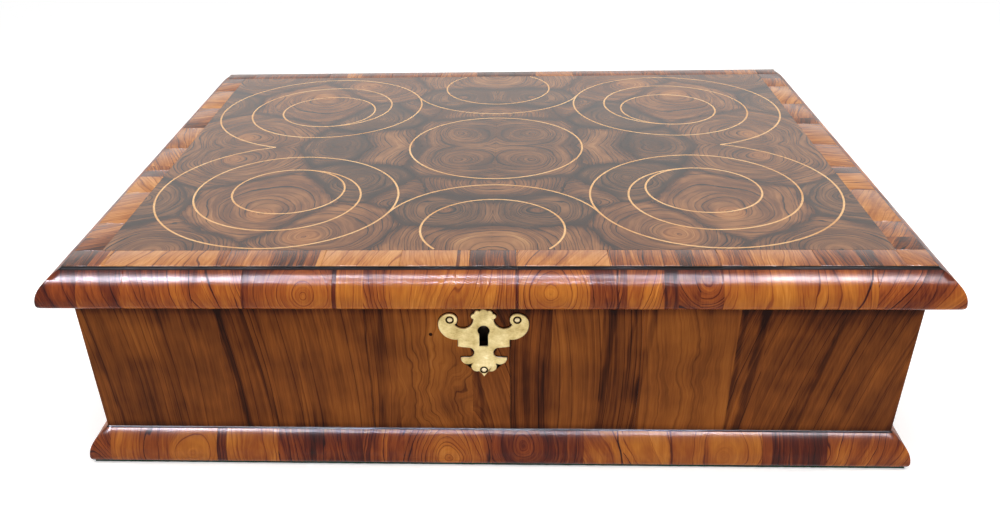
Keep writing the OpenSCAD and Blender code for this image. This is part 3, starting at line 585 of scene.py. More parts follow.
@dataclass(frozen=True)
class RunVeneer:
    """Olivewood laid in lengths with the grain across the run, which gives stripes, arcs and eyes."""

    name: str
    leaves: tuple[Leaf, ...]
    run: Axis
    upright: bool
    growth: Growth = Growth(bend_mm=1.2, bend_span_mm=30.0)
    streaks: tuple[Streak, ...] = ()
    span: tuple[float, float] = (0.0, 100.0)
    seed: float = 0.0
    gloss: float = 0.16
    shine: float = 0.5
    tones: tuple[str, ...] = BAND_TONES
    red_tones: tuple[str, ...] = RED_TONES
    relief_mm: float = 0.05
    banding: float = 1.15
    lining: float = 0.5
    fibres: float = 0.4
    patches: float = 0.3
    pitting: float = 0.26
    grain: float = 0.3
    # Painted shade by height, under overhangs and where parts meet
    shade_and_dirt: tuple[PaintedShade, ...] = ()
    dark_spots: tuple[DarkSpot, ...] = ()
    curls: tuple[Curl, ...] = ()
    patch_mm: float = 30.0
    # Real pores are about a tenth of this, too fine to show, so they are drawn coarser
    pore_mm: float = 0.9
    smear_mm: float = 40.0
    heart_ragged_mm: float = 9.0
    # How much darker the wood is beyond a heart, and from where to where, as shares of the heart
    heart_depth: float = 0.24
    heart_fade: tuple[float, float] = (0.7, 2.2)
    # How far the pores are drawn out, and at which depths the painted shade turns black
    pore_draw: float = 0.06
    blackening: tuple[float, float] = (0.35, 0.9)
    smearing: tuple[float, float] = (0.3, 0.75)
    wander_mm: float = 5.0

    def dress(self) -> bpy.types.Material:
        """Makes the material of one run.

        Returns:
            The material, whose pattern follows the place along the run.
        """
        g = Graph(self.name)
        place = g.place()
        axes = g.add("SeparateXYZ", place, out=slice(3))
        along = axes[self.run.value]
        across = axes[2] if self.upright else axes[1 - self.run.value]
        flat = g.add("CombineXYZ", along, across, 0.0)
        centre, traits, growth = self._leaf_at(g, along)
        tone, warmth, contrast = g.add("SeparateXYZ", traits, out=slice(3))
        ring, heart, seed = g.add("SeparateXYZ", growth, out=slice(3))
        line, broad, fibre = self.growth.rings(g, flat, centre, ring, seed, curl=self._curl(g, flat))
        mottle = g.add("TexNoise", place, 1 / self.patch_mm, 2.0)
        # Pores are drawn out along the grain
        drawn = g.add("VectorMath:MULTIPLY", flat, (1.0, self.pore_draw, 0.0))
        pores = g.add("TexNoise", drawn, 1 / self.pore_mm, 2.0)
        bands = g.total((broad, self.banding), (line, -self.lining), start=-0.5 * self.banding)
        reach = g.reach(flat, centre)
        reach = g.total((reach, 1.0), (broad, self.heart_ragged_mm), start=-self.heart_ragged_mm / 2)
        outer = g.add("Math:DIVIDE", reach, heart)
        outer = g.add("MapRange:SMOOTHSTEP", outer, *self.heart_fade, 0.0, 1.0)
        inside = g.add("Math:GREATER_THAN", heart, 0.5)
        level = g.total(
            (tone, 1.0),
            (g.add("Math:MULTIPLY", outer, inside), -self.heart_depth),
            (g.add("Math:MULTIPLY", bands, contrast), 1.0),
            (fibre, self.fibres),
            (mottle, self.patches),
            (pores, self.pitting),
            start=-0.5 * (self.fibres + self.patches + self.pitting),
        )
        if self.streaks:
            level = g.add("Math:SUBTRACT", level, self._streaks(g, along, across, place))
        # Painted shade: the wood darkens in strips by height
        shade_and_dirt = self._painted_shade(g, axes[2])
        level = g.add("Math:SUBTRACT", level, shade_and_dirt)
        # Black spots: knots, and painted shade round a hole's mouth
        for dark_spot in self.dark_spots:
            off = g.reach(flat, (dark_spot.along, dark_spot.across, 0.0))
            black = g.add("MapRange:SMOOTHSTEP", off, 0.7 * dark_spot.radius, dark_spot.radius, 1.0, 0.0)
            level = g.add("Math:SUBTRACT", level, black)
        colour = g.add("Mix:RGBA", warmth, g.tones(level, self.tones), g.tones(level, self.red_tones))
        # Deep painted shade is black
        blackened = g.add("MapRange", shade_and_dirt, *self.blackening, 0.0, 1.0)
        colour = g.add("Mix:RGBA", blackened, colour, linear(SHADE_BLACK))
        smears = g.add("TexNoise", place, 1 / self.smear_mm, 4.0)
        roughness = g.add("MapRange", smears, *self.smearing, self.gloss, 1.6 * self.gloss)
        relief = g.total((line, -0.2), (pores, self.grain), (smears, 1.0))
        return g.surface(colour, roughness, relief, self.relief_mm, Specular_IOR_Level=self.shine)

    def _leaf_at(self, g: Graph, along: Socket) -> list[Socket]:
        """Picks the leaf at a place along the run.

        Args:
            g: graph of the material.
            along: place along the run.

        Returns:
            The pith, then tone, warmth and contrast, and last ring space, heart and seed.
        """
        found: list[Feed] = [(0.0, 0.0, 0.0), (0.0, 0.0, 0.0), (3.0, 0.0, self.seed)]
        for i, leaf in enumerate(self.leaves):
            past = g.add("Math:GREATER_THAN", along, leaf.start)
            rows = (
                (leaf.pith_along, leaf.pith_across, 0.0),
                (leaf.tone, leaf.warmth, leaf.contrast),
                (leaf.ring_mm, leaf.heart_mm, self.seed + 2.3 * i + 1),
            )
            found = [g.add("Mix:VECTOR", past, old, new) for old, new in zip(found, rows)]
        return found

    def _curl(self, g: Graph, flat: Socket) -> Feed:
        """Adds the places where the grain is curly.

        Args:
            g: graph of the material.
            flat: place on the veneer.

        Returns:
            How many times more than elsewhere the grain bends.
        """
        terms = []
        for c in self.curls:
            off = g.reach(flat, (c.along, c.across, 0.0), (1 / c.reach_along, 1 / c.reach_across, 0.0))
            share = g.add("MapRange:SMOOTHSTEP", off, 0.3, 1.0, 1.0, 0.0)
            terms.append((share, c.strength))
        return g.total(*terms, start=1.0)

    def _painted_shade(self, g: Graph, height: Socket) -> Feed:
        """Adds the painted shade: dark strips under overhangs and where parts meet.

        Args:
            g: graph of the material.
            height: height on the part.

        Returns:
            How much darker the painted shade makes the wood.
        """
        dark: Feed = 0.0
        for d in self.shade_and_dirt:
            above = g.add("MapRange", height, d.low - d.soft, d.low, 0.0, 1.0)
            below = g.add("MapRange", height, d.high, d.high + d.soft, d.depth, 0.0)
            dark = g.add("Math:MAXIMUM", dark, g.add("Math:MULTIPLY", above, below))
        return dark

    def _streaks(self, g: Graph, along: Socket, across: Socket, place: Socket) -> Feed:
        """Adds the single dark lines that cross the veneer.

        Args:
            g: graph of the material.
            along: place along the run.
            across: place across it.
            place: place on the part.

        Returns:
            How much darker the streaks make the wood.
        """
        wave = g.add("TexNoise", place, 1 / self.patch_mm, 2.0)
        share = g.add("MapRange", across, *self.span, 0.0, 1.0)
        dark: Feed = 0.0
        for s in self.streaks:
            start = s.low - self.wander_mm / 2
            middle = g.total((share, s.high - s.low), (wave, self.wander_mm), start=start)
            off = g.add("Math:ABSOLUTE", g.add("Math:SUBTRACT", along, middle))
            shade = g.add("MapRange:SMOOTHSTEP", off, 0.15 * s.width, 0.6 * s.width, s.depth, 0.0)
            dark = g.add("Math:MAXIMUM", shade, dark)
        return dark


FRONT_BAND = (
    Leaf(-260, 0.30, 0.15, -520, -185, 1.7, 1.6),
    Leaf(-235, 0.46, 0.50, -520, -185, 2.0, 1.3),
    Leaf(-228, 0.80, 0.10, -330, -150, 4.6),
    Leaf(-162, 0.58, 0.25, -420, -185, 1.8, 1.3),
    Leaf(-127, 0.27, 0.10, -420, -185, 1.5, 1.6),
    Leaf(-108, 0.44, 0.20, -420, -185, 1.6, 1.4),
    Leaf(-101, 0.82, 0.10, -300, -140, 3.6, 0.7),
    Leaf(-52.7, 0.78, 0.15, 160, -150, 3.4, 0.8),
    Leaf(-20, 0.24, 0.20, 200, -185, 1.6),
    Leaf(-18, 0.78, 0.15, 200, -185, 2.0),
    Leaf(-12.6, 0.34, 0.20, 300, -185, 1.6, 1.3),
    Leaf(14.5, 0.76, 0.15, 160, -235, 4.0),
    Leaf(67.8, 0.50, 0.25, 420, -185, 1.7, 1.4),
    Leaf(80, 0.60, 0.20, 420, -185, 1.8, 1.3),
    Leaf(107, 0.28, 0.15, 420, -185, 1.5, 1.5),
    Leaf(116, 0.58, 0.25, -300, -185, 1.6, 1.4),
    Leaf(130.5, 0.52, 0.30, -300, -185, 1.5, 1.4),
    Leaf(150, 0.72, 0.15, -300, -150, 3.4),
    Leaf(172, 0.60, 0.35, -300, -185, 2.0, 1.2),
    Leaf(185.7, 0.54, 0.30, 560, -150, 2.4, 1.2),
    Leaf(210, 0.28, 0.20, 560, -185, 1.6, 1.5),
    Leaf(220, 0.56, 0.30, 60, -185, 2.0, 1.2),
    Leaf(233.4, 0.66, 0.25, 215, -200, 2.6),
)

BACK_BAND = (
    Leaf(-260, 0.30, 0.20, -520, 187, 3.0),
    Leaf(-225.9, 0.44, 0.35, -520, 187, 2.6),
    Leaf(-155.6, 0.40, 0.30, -420, 187, 2.4),
    Leaf(-140, 0.66, 0.20, -420, 187, 2.4),
    Leaf(-126, 0.46, 0.30, -420, 187, 2.2),
    Leaf(-97.9, 0.42, 0.40, -300, 170, 3.6, 0.8),
    Leaf(-52.7, 0.60, 0.20, 160, 170, 3.2, 0.8),
    Leaf(-20, 0.26, 0.20, 200, 187, 2.4),
    Leaf(15, 0.28, 0.20, 200, 187, 2.4),
    Leaf(34, 0.62, 0.20, 160, 230, 4.0),
    Leaf(67.8, 0.40, 0.25, 420, 187, 2.2),
    Leaf(100, 0.50, 0.25, 420, 187, 2.4),
    Leaf(130.5, 0.42, 0.30, -300, 187, 2.2),
    Leaf(185.7, 0.46, 0.35, 560, 170, 3.0),
    Leaf(205, 0.60, 0.25, 560, 187, 2.4),
    Leaf(233.4, 0.34, 0.25, 60, 187, 2.6),
)

SIDE_BAND = (
    Leaf(-180, 0.34, 0.05, 242, -430, 2.2, 1.2),
    Leaf(-158, 0.60, 0.12, 242, -430, 2.4, 1.3),
    Leaf(-136, 0.72, 0.05, 200, -380, 3.6, 1.1),
    Leaf(-86.4, 0.76, 0.05, 330, 260, 4.2, 1.1),
    Leaf(-58, 0.27, 0.05, 242, 300, 2.0),
    Leaf(-48, 0.54, 0.12, 242, 300, 2.0, 1.3),
    Leaf(-38, 0.62, 0.10, 230, 300, 2.2, 1.3),
    Leaf(-1.3, 0.68, 0.05, 170, 250, 3.0, 1.1),
    Leaf(44.8, 0.34, 0.05, 242, -300, 2.2),
    Leaf(58, 0.55, 0.10, 242, -300, 2.2, 1.3),
    Leaf(94.4, 0.72, 0.05, 300, -200, 3.6, 1.1),
    Leaf(142.2, 0.58, 0.10, 242, -300, 2.8, 1.1),
    Leaf(166, 0.34, 0.05, 242, -300, 2.4),
)

LID_FRONT = (
    Leaf(-280, 0.30, 0.85, -430, 40, 3.0),
    Leaf(-240, 0.46, 0.60, -430, 40, 3.2),
    Leaf(-213.4, 0.50, 0.55, -410, 60, 3.0),
    Leaf(-172, 0.54, 0.50, -360, 40, 3.4),
    Leaf(-143.5, 0.26, 0.70, -420, 128, 2.4, 0.8),
    Leaf(-139, 0.64, 0.45, -107, 126, 2.6, 0.8, 15),
    Leaf(-91, 0.28, 0.60, -107, 127, 2.4, 0.8),
    Leaf(-88.5, 0.68, 0.30, -340, 127, 2.4, 0.8),
    Leaf(-73, 0.62, 0.35, -320, 96, 4.0, 0.9),
    Leaf(-50, 0.68, 0.30, 160, 70, 3.6, 0.7),
    Leaf(-6, 0.60, 0.40, 300, 110, 2.2),
    Leaf(14, 0.26, 0.60, 30, 127, 2.4, 0.8),
    Leaf(16, 0.68, 0.30, 34, 127, 2.8, 0.8, 16),
    Leaf(56, 0.46, 0.55, 34, 127, 2.0),
    Leaf(71.5, 0.42, 0.50, 400, 100, 2.2),
    Leaf(77, 0.62, 0.35, 260, 60, 3.0),
    Leaf(98, 0.32, 0.45, 420, 100, 2.0),
    Leaf(106, 0.44, 0.45, 122, 134, 3.0, 1.1),
    Leaf(118, 0.36, 0.50, 122, 134, 3.0, 1.1),
    Leaf(131, 0.66, 0.35, -320, 100, 5.0, 0.6),
    Leaf(178, 0.62, 0.42, -320, 100, 4.0, 0.7),
    Leaf(215.9, 0.48, 0.65, 330, 40, 3.2),
)

LID_SIDE = (
    Leaf(-220, 0.46, 0.70, -300, 60, 3.4),
    Leaf(-144.8, 0.56, 0.45, -330, 127, 3.0),
    Leaf(-110, 0.34, 0.55, -330, 127, 2.4, 1.1),
    Leaf(-88.3, 0.64, 0.35, -58, 126, 2.8, 0.8, 15),
    Leaf(-31.7, 0.50, 0.50, 220, 100, 3.2),
    Leaf(21, 0.64, 0.38, 50, 128, 2.8, 0.8, 16),
    Leaf(60, 0.36, 0.50, 300, 127, 2.4),
    Leaf(77.5, 0.58, 0.45, 240, 60, 4.0),
    Leaf(136, 0.50, 0.55, 165, 124, 3.4, 0.9, 18),
)

BASE_FRONT = (
    Leaf(-280, 0.36, 0.65, -330, -60, 3.0),
    Leaf(-247, 0.52, 0.55, -420, 10, 3.4),
    Leaf(-209, 0.62, 0.40, -193, 9, 3.6, 0.7, 16),
    Leaf(-177.5, 0.26, 0.70, -400, 10, 2.4),
    Leaf(-171, 0.62, 0.40, -245, 0, 4.6),
    Leaf(-137.5, 0.34, 0.85, -200, -8, 2.6, 1.2),
    Leaf(-82.5, 0.40, 0.75, -28, 6, 2.4, 1.1),
    Leaf(-56, 0.60, 0.50, -28, 7, 2.6, 0.9, 15),
    Leaf(0, 0.34, 0.85, 20, 14, 2.4, 1.0),
    Leaf(45, 0.32, 0.75, -240, 10, 2.2),
    Leaf(58, 0.64, 0.40, -60, -60, 4.6),
    Leaf(83, 0.66, 0.40, 20, -30, 5.0),
    Leaf(112.5, 0.68, 0.40, 146, 9, 5.0, 0.7, 24),
    Leaf(170, 0.36, 0.75, 400, 10, 2.6),
    Leaf(176, 0.20, 0.90, 400, 10, 2.0, 0.8),
    Leaf(210, 0.50, 0.55, 330, -30, 3.4),
)

BASE_SIDE = (
    Leaf(-220, 0.48, 0.60, -330, -20, 3.2),
    Leaf(-143.9, 0.60, 0.45, -110, 8, 3.0, 0.8, 16),
    Leaf(-87.5, 0.34, 0.80, -330, 10, 2.4, 1.1),
    Leaf(-31.1, 0.62, 0.45, -5, 8, 3.0, 0.8, 16),
    Leaf(21.4, 0.52, 0.55, 260, -20, 3.6),
    Leaf(77.8, 0.34, 0.80, 260, 10, 2.4),
    Leaf(136.2, 0.58, 0.50, 165, 6, 3.4, 0.9, 17),
)

CASE_FRONT = (
    Leaf(-260, 0.47, 0.35, -900, 30, 4.6, 0.65),
    Leaf(-165, 0.46, 0.45, -760, 10, 4.0, 0.9),
    Leaf(-120, 0.56, 0.40, -760, 10, 4.4, 0.8),
    Leaf(-75.5, 0.44, 0.40, -620, 60, 3.0, 0.9),
    Leaf(-58, 0.60, 0.30, -560, 60, 5.0, 0.75),
    Leaf(-12, 0.50, 0.50, -340, -40, 3.4),
    Leaf(11.5, 0.36, 0.65, 560, 60, 2.8, 1.1),
    Leaf(36, 0.60, 0.35, -380, 40, 5.0, 0.9),
    Leaf(66, 0.42, 0.45, -380, 60, 2.8, 1.1),
    Leaf(92, 0.62, 0.30, -520, 30, 6.0, 0.6),
    Leaf(146, 0.44, 0.50, 720, -60, 3.0),
    Leaf(163, 0.41, 0.45, 900, -120, 4.4, 0.8),
)

CASE_SIDE = (
    Leaf(-210, 0.50, 0.40, -900, 40, 4.4, 0.8),
    Leaf(-106, 0.56, 0.45, -620, -60, 5.0, 0.7),
    Leaf(-22.2, 0.44, 0.45, -700, 80, 3.6, 0.9),
    Leaf(66.7, 0.56, 0.40, 760, 20, 4.6, 0.7),
    Leaf(138.7, 0.46, 0.45, 820, -60, 3.6, 0.9),
)

CASE_STREAKS = (
    Streak(-155.5, -164.0, 5.0, 0.28),
    Streak(-75.5, -75.5, 1.6, 0.24),
    Streak(-137, -151, 4.0, 0.16),
    Streak(-69, -66, 4.4, 0.16),
    Streak(-237, -247, 3.4, 0.16),
    Streak(-112, -118, 2.8, 0.10),
    Streak(11.5, 11.5, 1.2, 0.26),
    Streak(30, 35, 3.0, 0.13),
    Streak(68, 72, 4.8, 0.22),
    Streak(88, 96, 5.0, 0.20),
    Streak(80, 84, 2.8, 0.14),
    Streak(146, 149, 3.4, 0.16),
    Streak(153, 162, 6.4, 0.30),
    Streak(190, 208, 4.0, 0.17),
    Streak(-6, -12, 3.4, 0.16),
)
CASE_CURLS = (Curl(-33.0, 46.0, 34.0, 62.0, 34.0), Curl(122.0, 58.0, 34.0, 56.0, 16.0))
# A small knot, and two spots of painted shade round the keyhole's mouth
CASE_DARK_SPOTS = (DarkSpot(-36.5, 92.0, 1.3), DarkSpot(KEY_X, 92.0, 9.0), DarkSpot(KEY_X, 84.0, 9.0))

LID_CRACKS = (Streak(206, 214, 1.4, 0.5), Streak(99, 97, 2.5, 0.2), Streak(72, 71, 1.6, 0.3))
BASE_CRACKS = (Streak(83.5, 79, 1.2, 0.6), Streak(114, 112, 1.5, 0.3))


@dataclass(frozen=True)
class Boxwood:
    """Boxwood string: close-grained, pale yellow, stained orange by the polish."""

    grain_mm: float = 3.0
    patch_mm: float = 45.0
    tones: tuple[str, ...] = ("#ab763e", "#d89e5e", "#efc084", "#fbd6a2")
    gloss: float = 0.26

    def dress(self) -> bpy.types.Material:
        """Makes the material of the strings.

        Returns:
            The material.
        """
        g = Graph("boxwood_string_polished")
        place = g.place()
        grain = g.add("TexNoise", place, 1 / self.grain_mm, 3.0)
        patch = g.add("TexNoise", place, 1 / self.patch_mm, 2.0)
        level = g.total((grain, 0.5), (patch, 0.9), start=-0.2)
        return g.surface(g.tones(level, self.tones), self.gloss)


@dataclass(frozen=True)
class Pine:
    """Old bare pine: long lines of darker summer wood, browned by age, with painted shade round a keyhole."""

    name: str
    along: Axis
    keyhole: tuple[float, float] | None = None
    keyhole_reach: tuple[float, float] = (8.0, 13.0)
    tones: tuple[str, ...] = ("#2c1a0e", "#7c532d", "#a97440", "#c79257", "#d9ac74")
    # Summer wood lines lie about 5 mm apart in a flat-sawn board
    figure_mm: float = 34.0
    lines: float = 15.0
    lateness: float = 2.6
    # Fibres are drawn coarser than real ones, so that they show
    fibre_mm: float = 0.8
    stain_mm: float = 80.0
    relief_mm: float = 0.1

    def dress(self) -> bpy.types.Material:
        """Makes the material of boards whose grain runs along one axis.

        Returns:
            The material.
        """
        g = Graph(self.name)
        place = g.place()
        squeeze = (0.05, 1.0, 1.0) if self.along is Axis.ALONG_X else (1.0, 0.05, 1.0)
        stretched = g.add("VectorMath:MULTIPLY", place, squeeze)
        figure = g.add("TexNoise", stretched, 1 / self.figure_mm, 1.5)
        rings = g.add("Math:FRACT", g.add("Math:MULTIPLY", figure, self.lines))
        rings = g.add("Math:POWER", rings, self.lateness)
        fine = g.add("VectorMath:SCALE", stretched, 0.9)
        fibre = g.add("TexNoise", fine, 1 / self.fibre_mm, 2.0)
        stain = g.add("TexNoise", place, 1 / self.stain_mm, 4.0)
        level = g.total((rings, -0.26), (fibre, 0.3), (stain, 0.6), start=0.2)
        # Painted shade round the keyhole, darkening the board inside it
        if self.keyhole is not None:
            gap = g.reach(place, (self.keyhole[0], 0.0, self.keyhole[1]), (1.0, 0.0, 0.7))
            keyhole_shade = g.add("MapRange", gap, *self.keyhole_reach, 1.5, 0.0)
            level = g.add("Math:SUBTRACT", level, keyhole_shade)
        relief = g.total((rings, -0.6), (fibre, 0.5))
        return g.surface(g.tones(level, self.tones), 0.66, relief, self.relief_mm, Specular_IOR_Level=0.25)


@dataclass(frozen=True)
class LiningPaper:
    """Old laid paper pasted inside: cream, browned at the edges, with brown specks."""

    stain_mm: float = 50.0
    pulp_mm: float = 1 / 1.4
    speck_mm: float = 7.0
    # Where a speck starts to fade and where it ends, as shares of the space between specks
    speck_fade: tuple[float, float] = (0.05, 0.12)
    # Laid lines lie about 1.2 mm apart
    laid_mm: float = 3.8
    laid_waver: float = 0.4
    tones: tuple[str, ...] = ("#8f7350", "#c2a87c", "#dac59c", "#e6d7b6")

    def dress(self) -> bpy.types.Material:
        """Makes the material of the lining.

        Returns:
            The material.
        """
        g = Graph("laid_paper_aged")
        place = g.place()
        stain = g.add("TexNoise", place, 1 / self.stain_mm, 5.0, 0.6)
        pulp = g.add("TexNoise", place, 1 / self.pulp_mm, 3.0)
        specks = g.add("TexVoronoi", place, 1 / self.speck_mm)
        specks = g.add("MapRange", specks, *self.speck_fade, 1.0, 0.0)
        level = g.total((stain, 0.7), (pulp, 0.3), (specks, -0.35), start=0.18)
        lines = g.add("TexWave", place, 1 / self.laid_mm, self.laid_waver, out="Fac")
        return g.surface(g.tones(level, self.tones), 0.85, g.total((lines, 0.4), (pulp, 0.6)), 0.03)


@dataclass(frozen=True)
class AgedBrass:
    """Cast brass, filed flat and handled for long: pale and warm, darker round its pins. A plate with a foot
    gets painted highlight on its sloped edges and painted shadow at its foot.
    """

    name: str
    tones: tuple[str, ...]
    pins: tuple[tuple[float, float], ...] = ()
    # Depth from which the foot is painted black as its shadow on the wood, if the brass has a foot
    foot_shadow_from: float | None = None
    patina_mm: float = 9.0
    # File marks run across the plate, drawn about 1 mm apart so that they show
    mark_mm: float = 1 / 1.1
    mark_draw: tuple[float, float, float] = (0.5, 1.0, 3.2)
    roughness: tuple[float, float] = (0.46, 0.32)
    pin_reach: tuple[float, float] = (1.9, 2.9)
    # How far in front of the foot the painted highlight on the sloped edges begins and is full
    edge_highlight_depth: tuple[float, float] = (0.62, 0.5)
    # Depth over which the painted shadow at the foot comes in
    foot_shadow_depth: float = 0.15
    relief_mm: float = 0.06

    def dress(self) -> bpy.types.Material:
        """Makes the material, darker round the pins where it has some, with painted highlight and shadow on a
        plate's edges and foot where it has a foot.

        Returns:
            The material.
        """
        g = Graph(self.name)
        place = g.place()
        patina = g.add("TexNoise", place, 1 / self.patina_mm, 5.0, 0.62)
        brushed = g.add("VectorMath:MULTIPLY", place, self.mark_draw)
        brushed = g.add("TexNoise", brushed, 1 / self.mark_mm, 2.0)
        level = g.total((patina, 1.15), (brushed, 0.35), start=-0.18)
        for x, z in self.pins:
            gap = g.reach(place, (x, 0.0, z), (1.0, 0.0, 1.0))
            shade_and_dirt = g.add("MapRange:SMOOTHSTEP", gap, *self.pin_reach, 1.1, 0.0)
            level = g.add("Math:SUBTRACT", level, shade_and_dirt)
        if self.foot_shadow_from is not None:
            depth = g.add("SeparateXYZ", place, out=1)
            # Painted highlight: the sloped edges are lighter than the face
            edge_highlight = (self.foot_shadow_from - edge for edge in self.edge_highlight_depth)
            edge_highlight = g.add("MapRange", depth, *edge_highlight, 0.0, 0.4)
            # Painted shadow: the foot, where the plate meets the wood, is black
            foot_shadow = g.add("MapRange", depth, self.foot_shadow_from - self.foot_shadow_depth, self.foot_shadow_from, 0.0, 1.9)
            level = g.total((foot_shadow, -1.0), (edge_highlight, 1.0), (level, 1.0))
        roughness = g.add("MapRange", patina, 0.3, 0.7, *self.roughness)
        relief = g.total((patina, 1.0), (brushed, 0.35))
        return g.surface(g.tones(level, self.tones), roughness, relief, self.relief_mm, Metallic=1.0)


@dataclass(frozen=True)
class Iron:
    """Forged iron, filed and oiled, with brown rust in patches."""

    rust_mm: float = 8.0
    # Grit is drawn coarser than real rust's, so that it shows
    grit_mm: float = 1 / 1.6
    # How bare and how rough the iron is, from oiled to rusted
    bareness: tuple[float, float] = (0.85, 0.15)
    roughness: tuple[float, float] = (0.42, 0.8)
    tones: tuple[str, ...] = ("#1f1b19", "#3c3733", "#4e3a2c", "#74492b")
    relief_mm: float = 0.12

    def dress(self) -> bpy.types.Material:
        """Makes the material of the lock and the nails.

        Returns:
            The material.
        """
        g = Graph("forged_iron_rusted")
        place = g.place()
        rust = g.add("TexNoise", place, 1 / self.rust_mm, 6.0, 0.65)
        grit = g.add("TexNoise", place, 1 / self.grit_mm, 3.0)
        colour = g.tones(g.total((rust, 1.3), (grit, 0.3), start=-0.3), self.tones)
        bare = g.add("MapRange", rust, 0.42, 0.58, *self.bareness)
        roughness = g.add("MapRange", rust, 0.4, 0.65, *self.roughness)
        relief = g.total((rust, 0.7), (grit, 0.4))
        return g.surface(colour, roughness, relief, self.relief_mm, Metallic=bare)


@dataclass(frozen=True)
class Baize:
    """Green wool baize: a felted nap that hides the weave, dusty at its edge."""

    # The nap is drawn coarser than real wool's, so that it shows
    nap_mm: float = 1 / 1.5
    wear_mm: float = 35.0
    tones: tuple[str, ...] = ("#0c1f15", "#173c28", "#27573b", "#4d7059")
    relief_mm: float = 0.35

    def dress(self) -> bpy.types.Material:
        """Makes the material of the baize.

        Returns:
            The material.
        """
        g = Graph("wool_baize_green")
        place = g.place()
        nap = g.add("TexNoise", place, 1 / self.nap_mm, 4.0, 0.7)
        wear = g.add("TexNoise", place, 1 / self.wear_mm, 3.0)
        colour = g.tones(g.total((nap, 0.7), (wear, 0.6), start=-0.15), self.tones)
        return g.surface(colour, 0.95, nap, self.relief_mm, Sheen_Weight=0.15, Sheen_Roughness=0.5)


# Pieces built over the frame


@dataclass
class Workshop:
    """The loaded frame and the helpers that put a finished piece on it."""

    frame: dict
    sharp_degrees: float = 42.0

    def put(
        self, shape: bmesh.types.BMesh, name: str, node: str, slot: str, material: bpy.types.Material
    ) -> bpy.types.Object:
        """Turns a bmesh in millimetres into a piece that stands for a CAD node.

        Args:
            shape: the shape, freed here.
            name: the piece's name.
            node: CAD node that it replaces.
            slot: not used.
            material: its material.

        Returns:
            The new object.
        """
        bmesh.ops.scale(shape, vec=(MM, MM, MM), verts=shape.verts)
        mesh = bpy.data.meshes.new(name)
        shape.to_mesh(mesh)
        shape.free()
        mesh.shade_smooth()
        mesh.set_sharp_from_angle(angle=math.radians(self.sharp_degrees))
        mesh.materials.append(material)
        piece = add_object(name, mesh)
        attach(piece, self.frame["nodes"][node]["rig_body"])
        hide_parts(node)
        return piece

    def paint(self, material: bpy.types.Material, *nodes: str) -> None:
        """Gives CAD nodes a material.

        Args:
            material: the material.
            *nodes: names of the nodes.
        """
        for node in nodes:
            self.frame["nodes"][node].data.materials[0] = material
            log.info("%s: %s", node, material.name)


@dataclass(frozen=True)
class Section:
    """Profile of a cushion moulding, in millimetres: a flat arc, a swelling face and a turned foot."""

    height: float
    out: float
    belly_r: float
    belly_z: float
    foot_r: float
    slope_r: float = 36.0
    face_steps: int = 14
    foot_steps: int = 8

    def draw(self, bm: bmesh.types.BMesh, x: float) -> bmesh.types.BMFace:
        """Draws the closed profile at a place along the run, with its back at Y 0.

        Args:
            bm: empty bmesh.
            x: place along the run.

        Returns:
            The face.
        """
        middle = Vector((self.out - self.belly_r, self.belly_z))
        foot = Vector((self.out - self.foot_r, self.belly_z))
        rise = Vector((0, self.height)) - middle
        wider = self.slope_r - self.belly_r
        share = 2 * self.slope_r * self.belly_r - self.belly_r**2 - rise.length_squared
        joint = math.atan2(rise.y, rise.x) - math.acos(share / (2 * wider * rise.length))
        centre = middle - wider * Vector((math.cos(joint), math.sin(joint)))
        start = Vector((0, self.height)) - centre
        sweep = math.atan2(start.y, start.x) - joint
        top = bmesh.ops.create_vert(bm, co=(x, 0, self.height))["vert"][0]
        last = [top]
        for spot, angle, steps in (
            (centre, sweep, self.face_steps),
            (middle, joint, self.face_steps),
            (foot, math.pi / 2, self.foot_steps),
        ):
            axle = Vector((x, -spot.x, spot.y))
            turned = bmesh.ops.spin(bm, geom=last, cent=axle, axis=(1, 0, 0), angle=angle, steps=steps)
            last = turned["geom_last"]
        heel = bmesh.ops.extrude_vert_indiv(bm, verts=last)["verts"][0]
        heel.co = (x, 0, 0)
        bmesh.ops.contextual_create(bm, geom=[heel, top])
        return bmesh.ops.edgeloop_fill(bm, edges=bm.edges[:])["faces"][0]


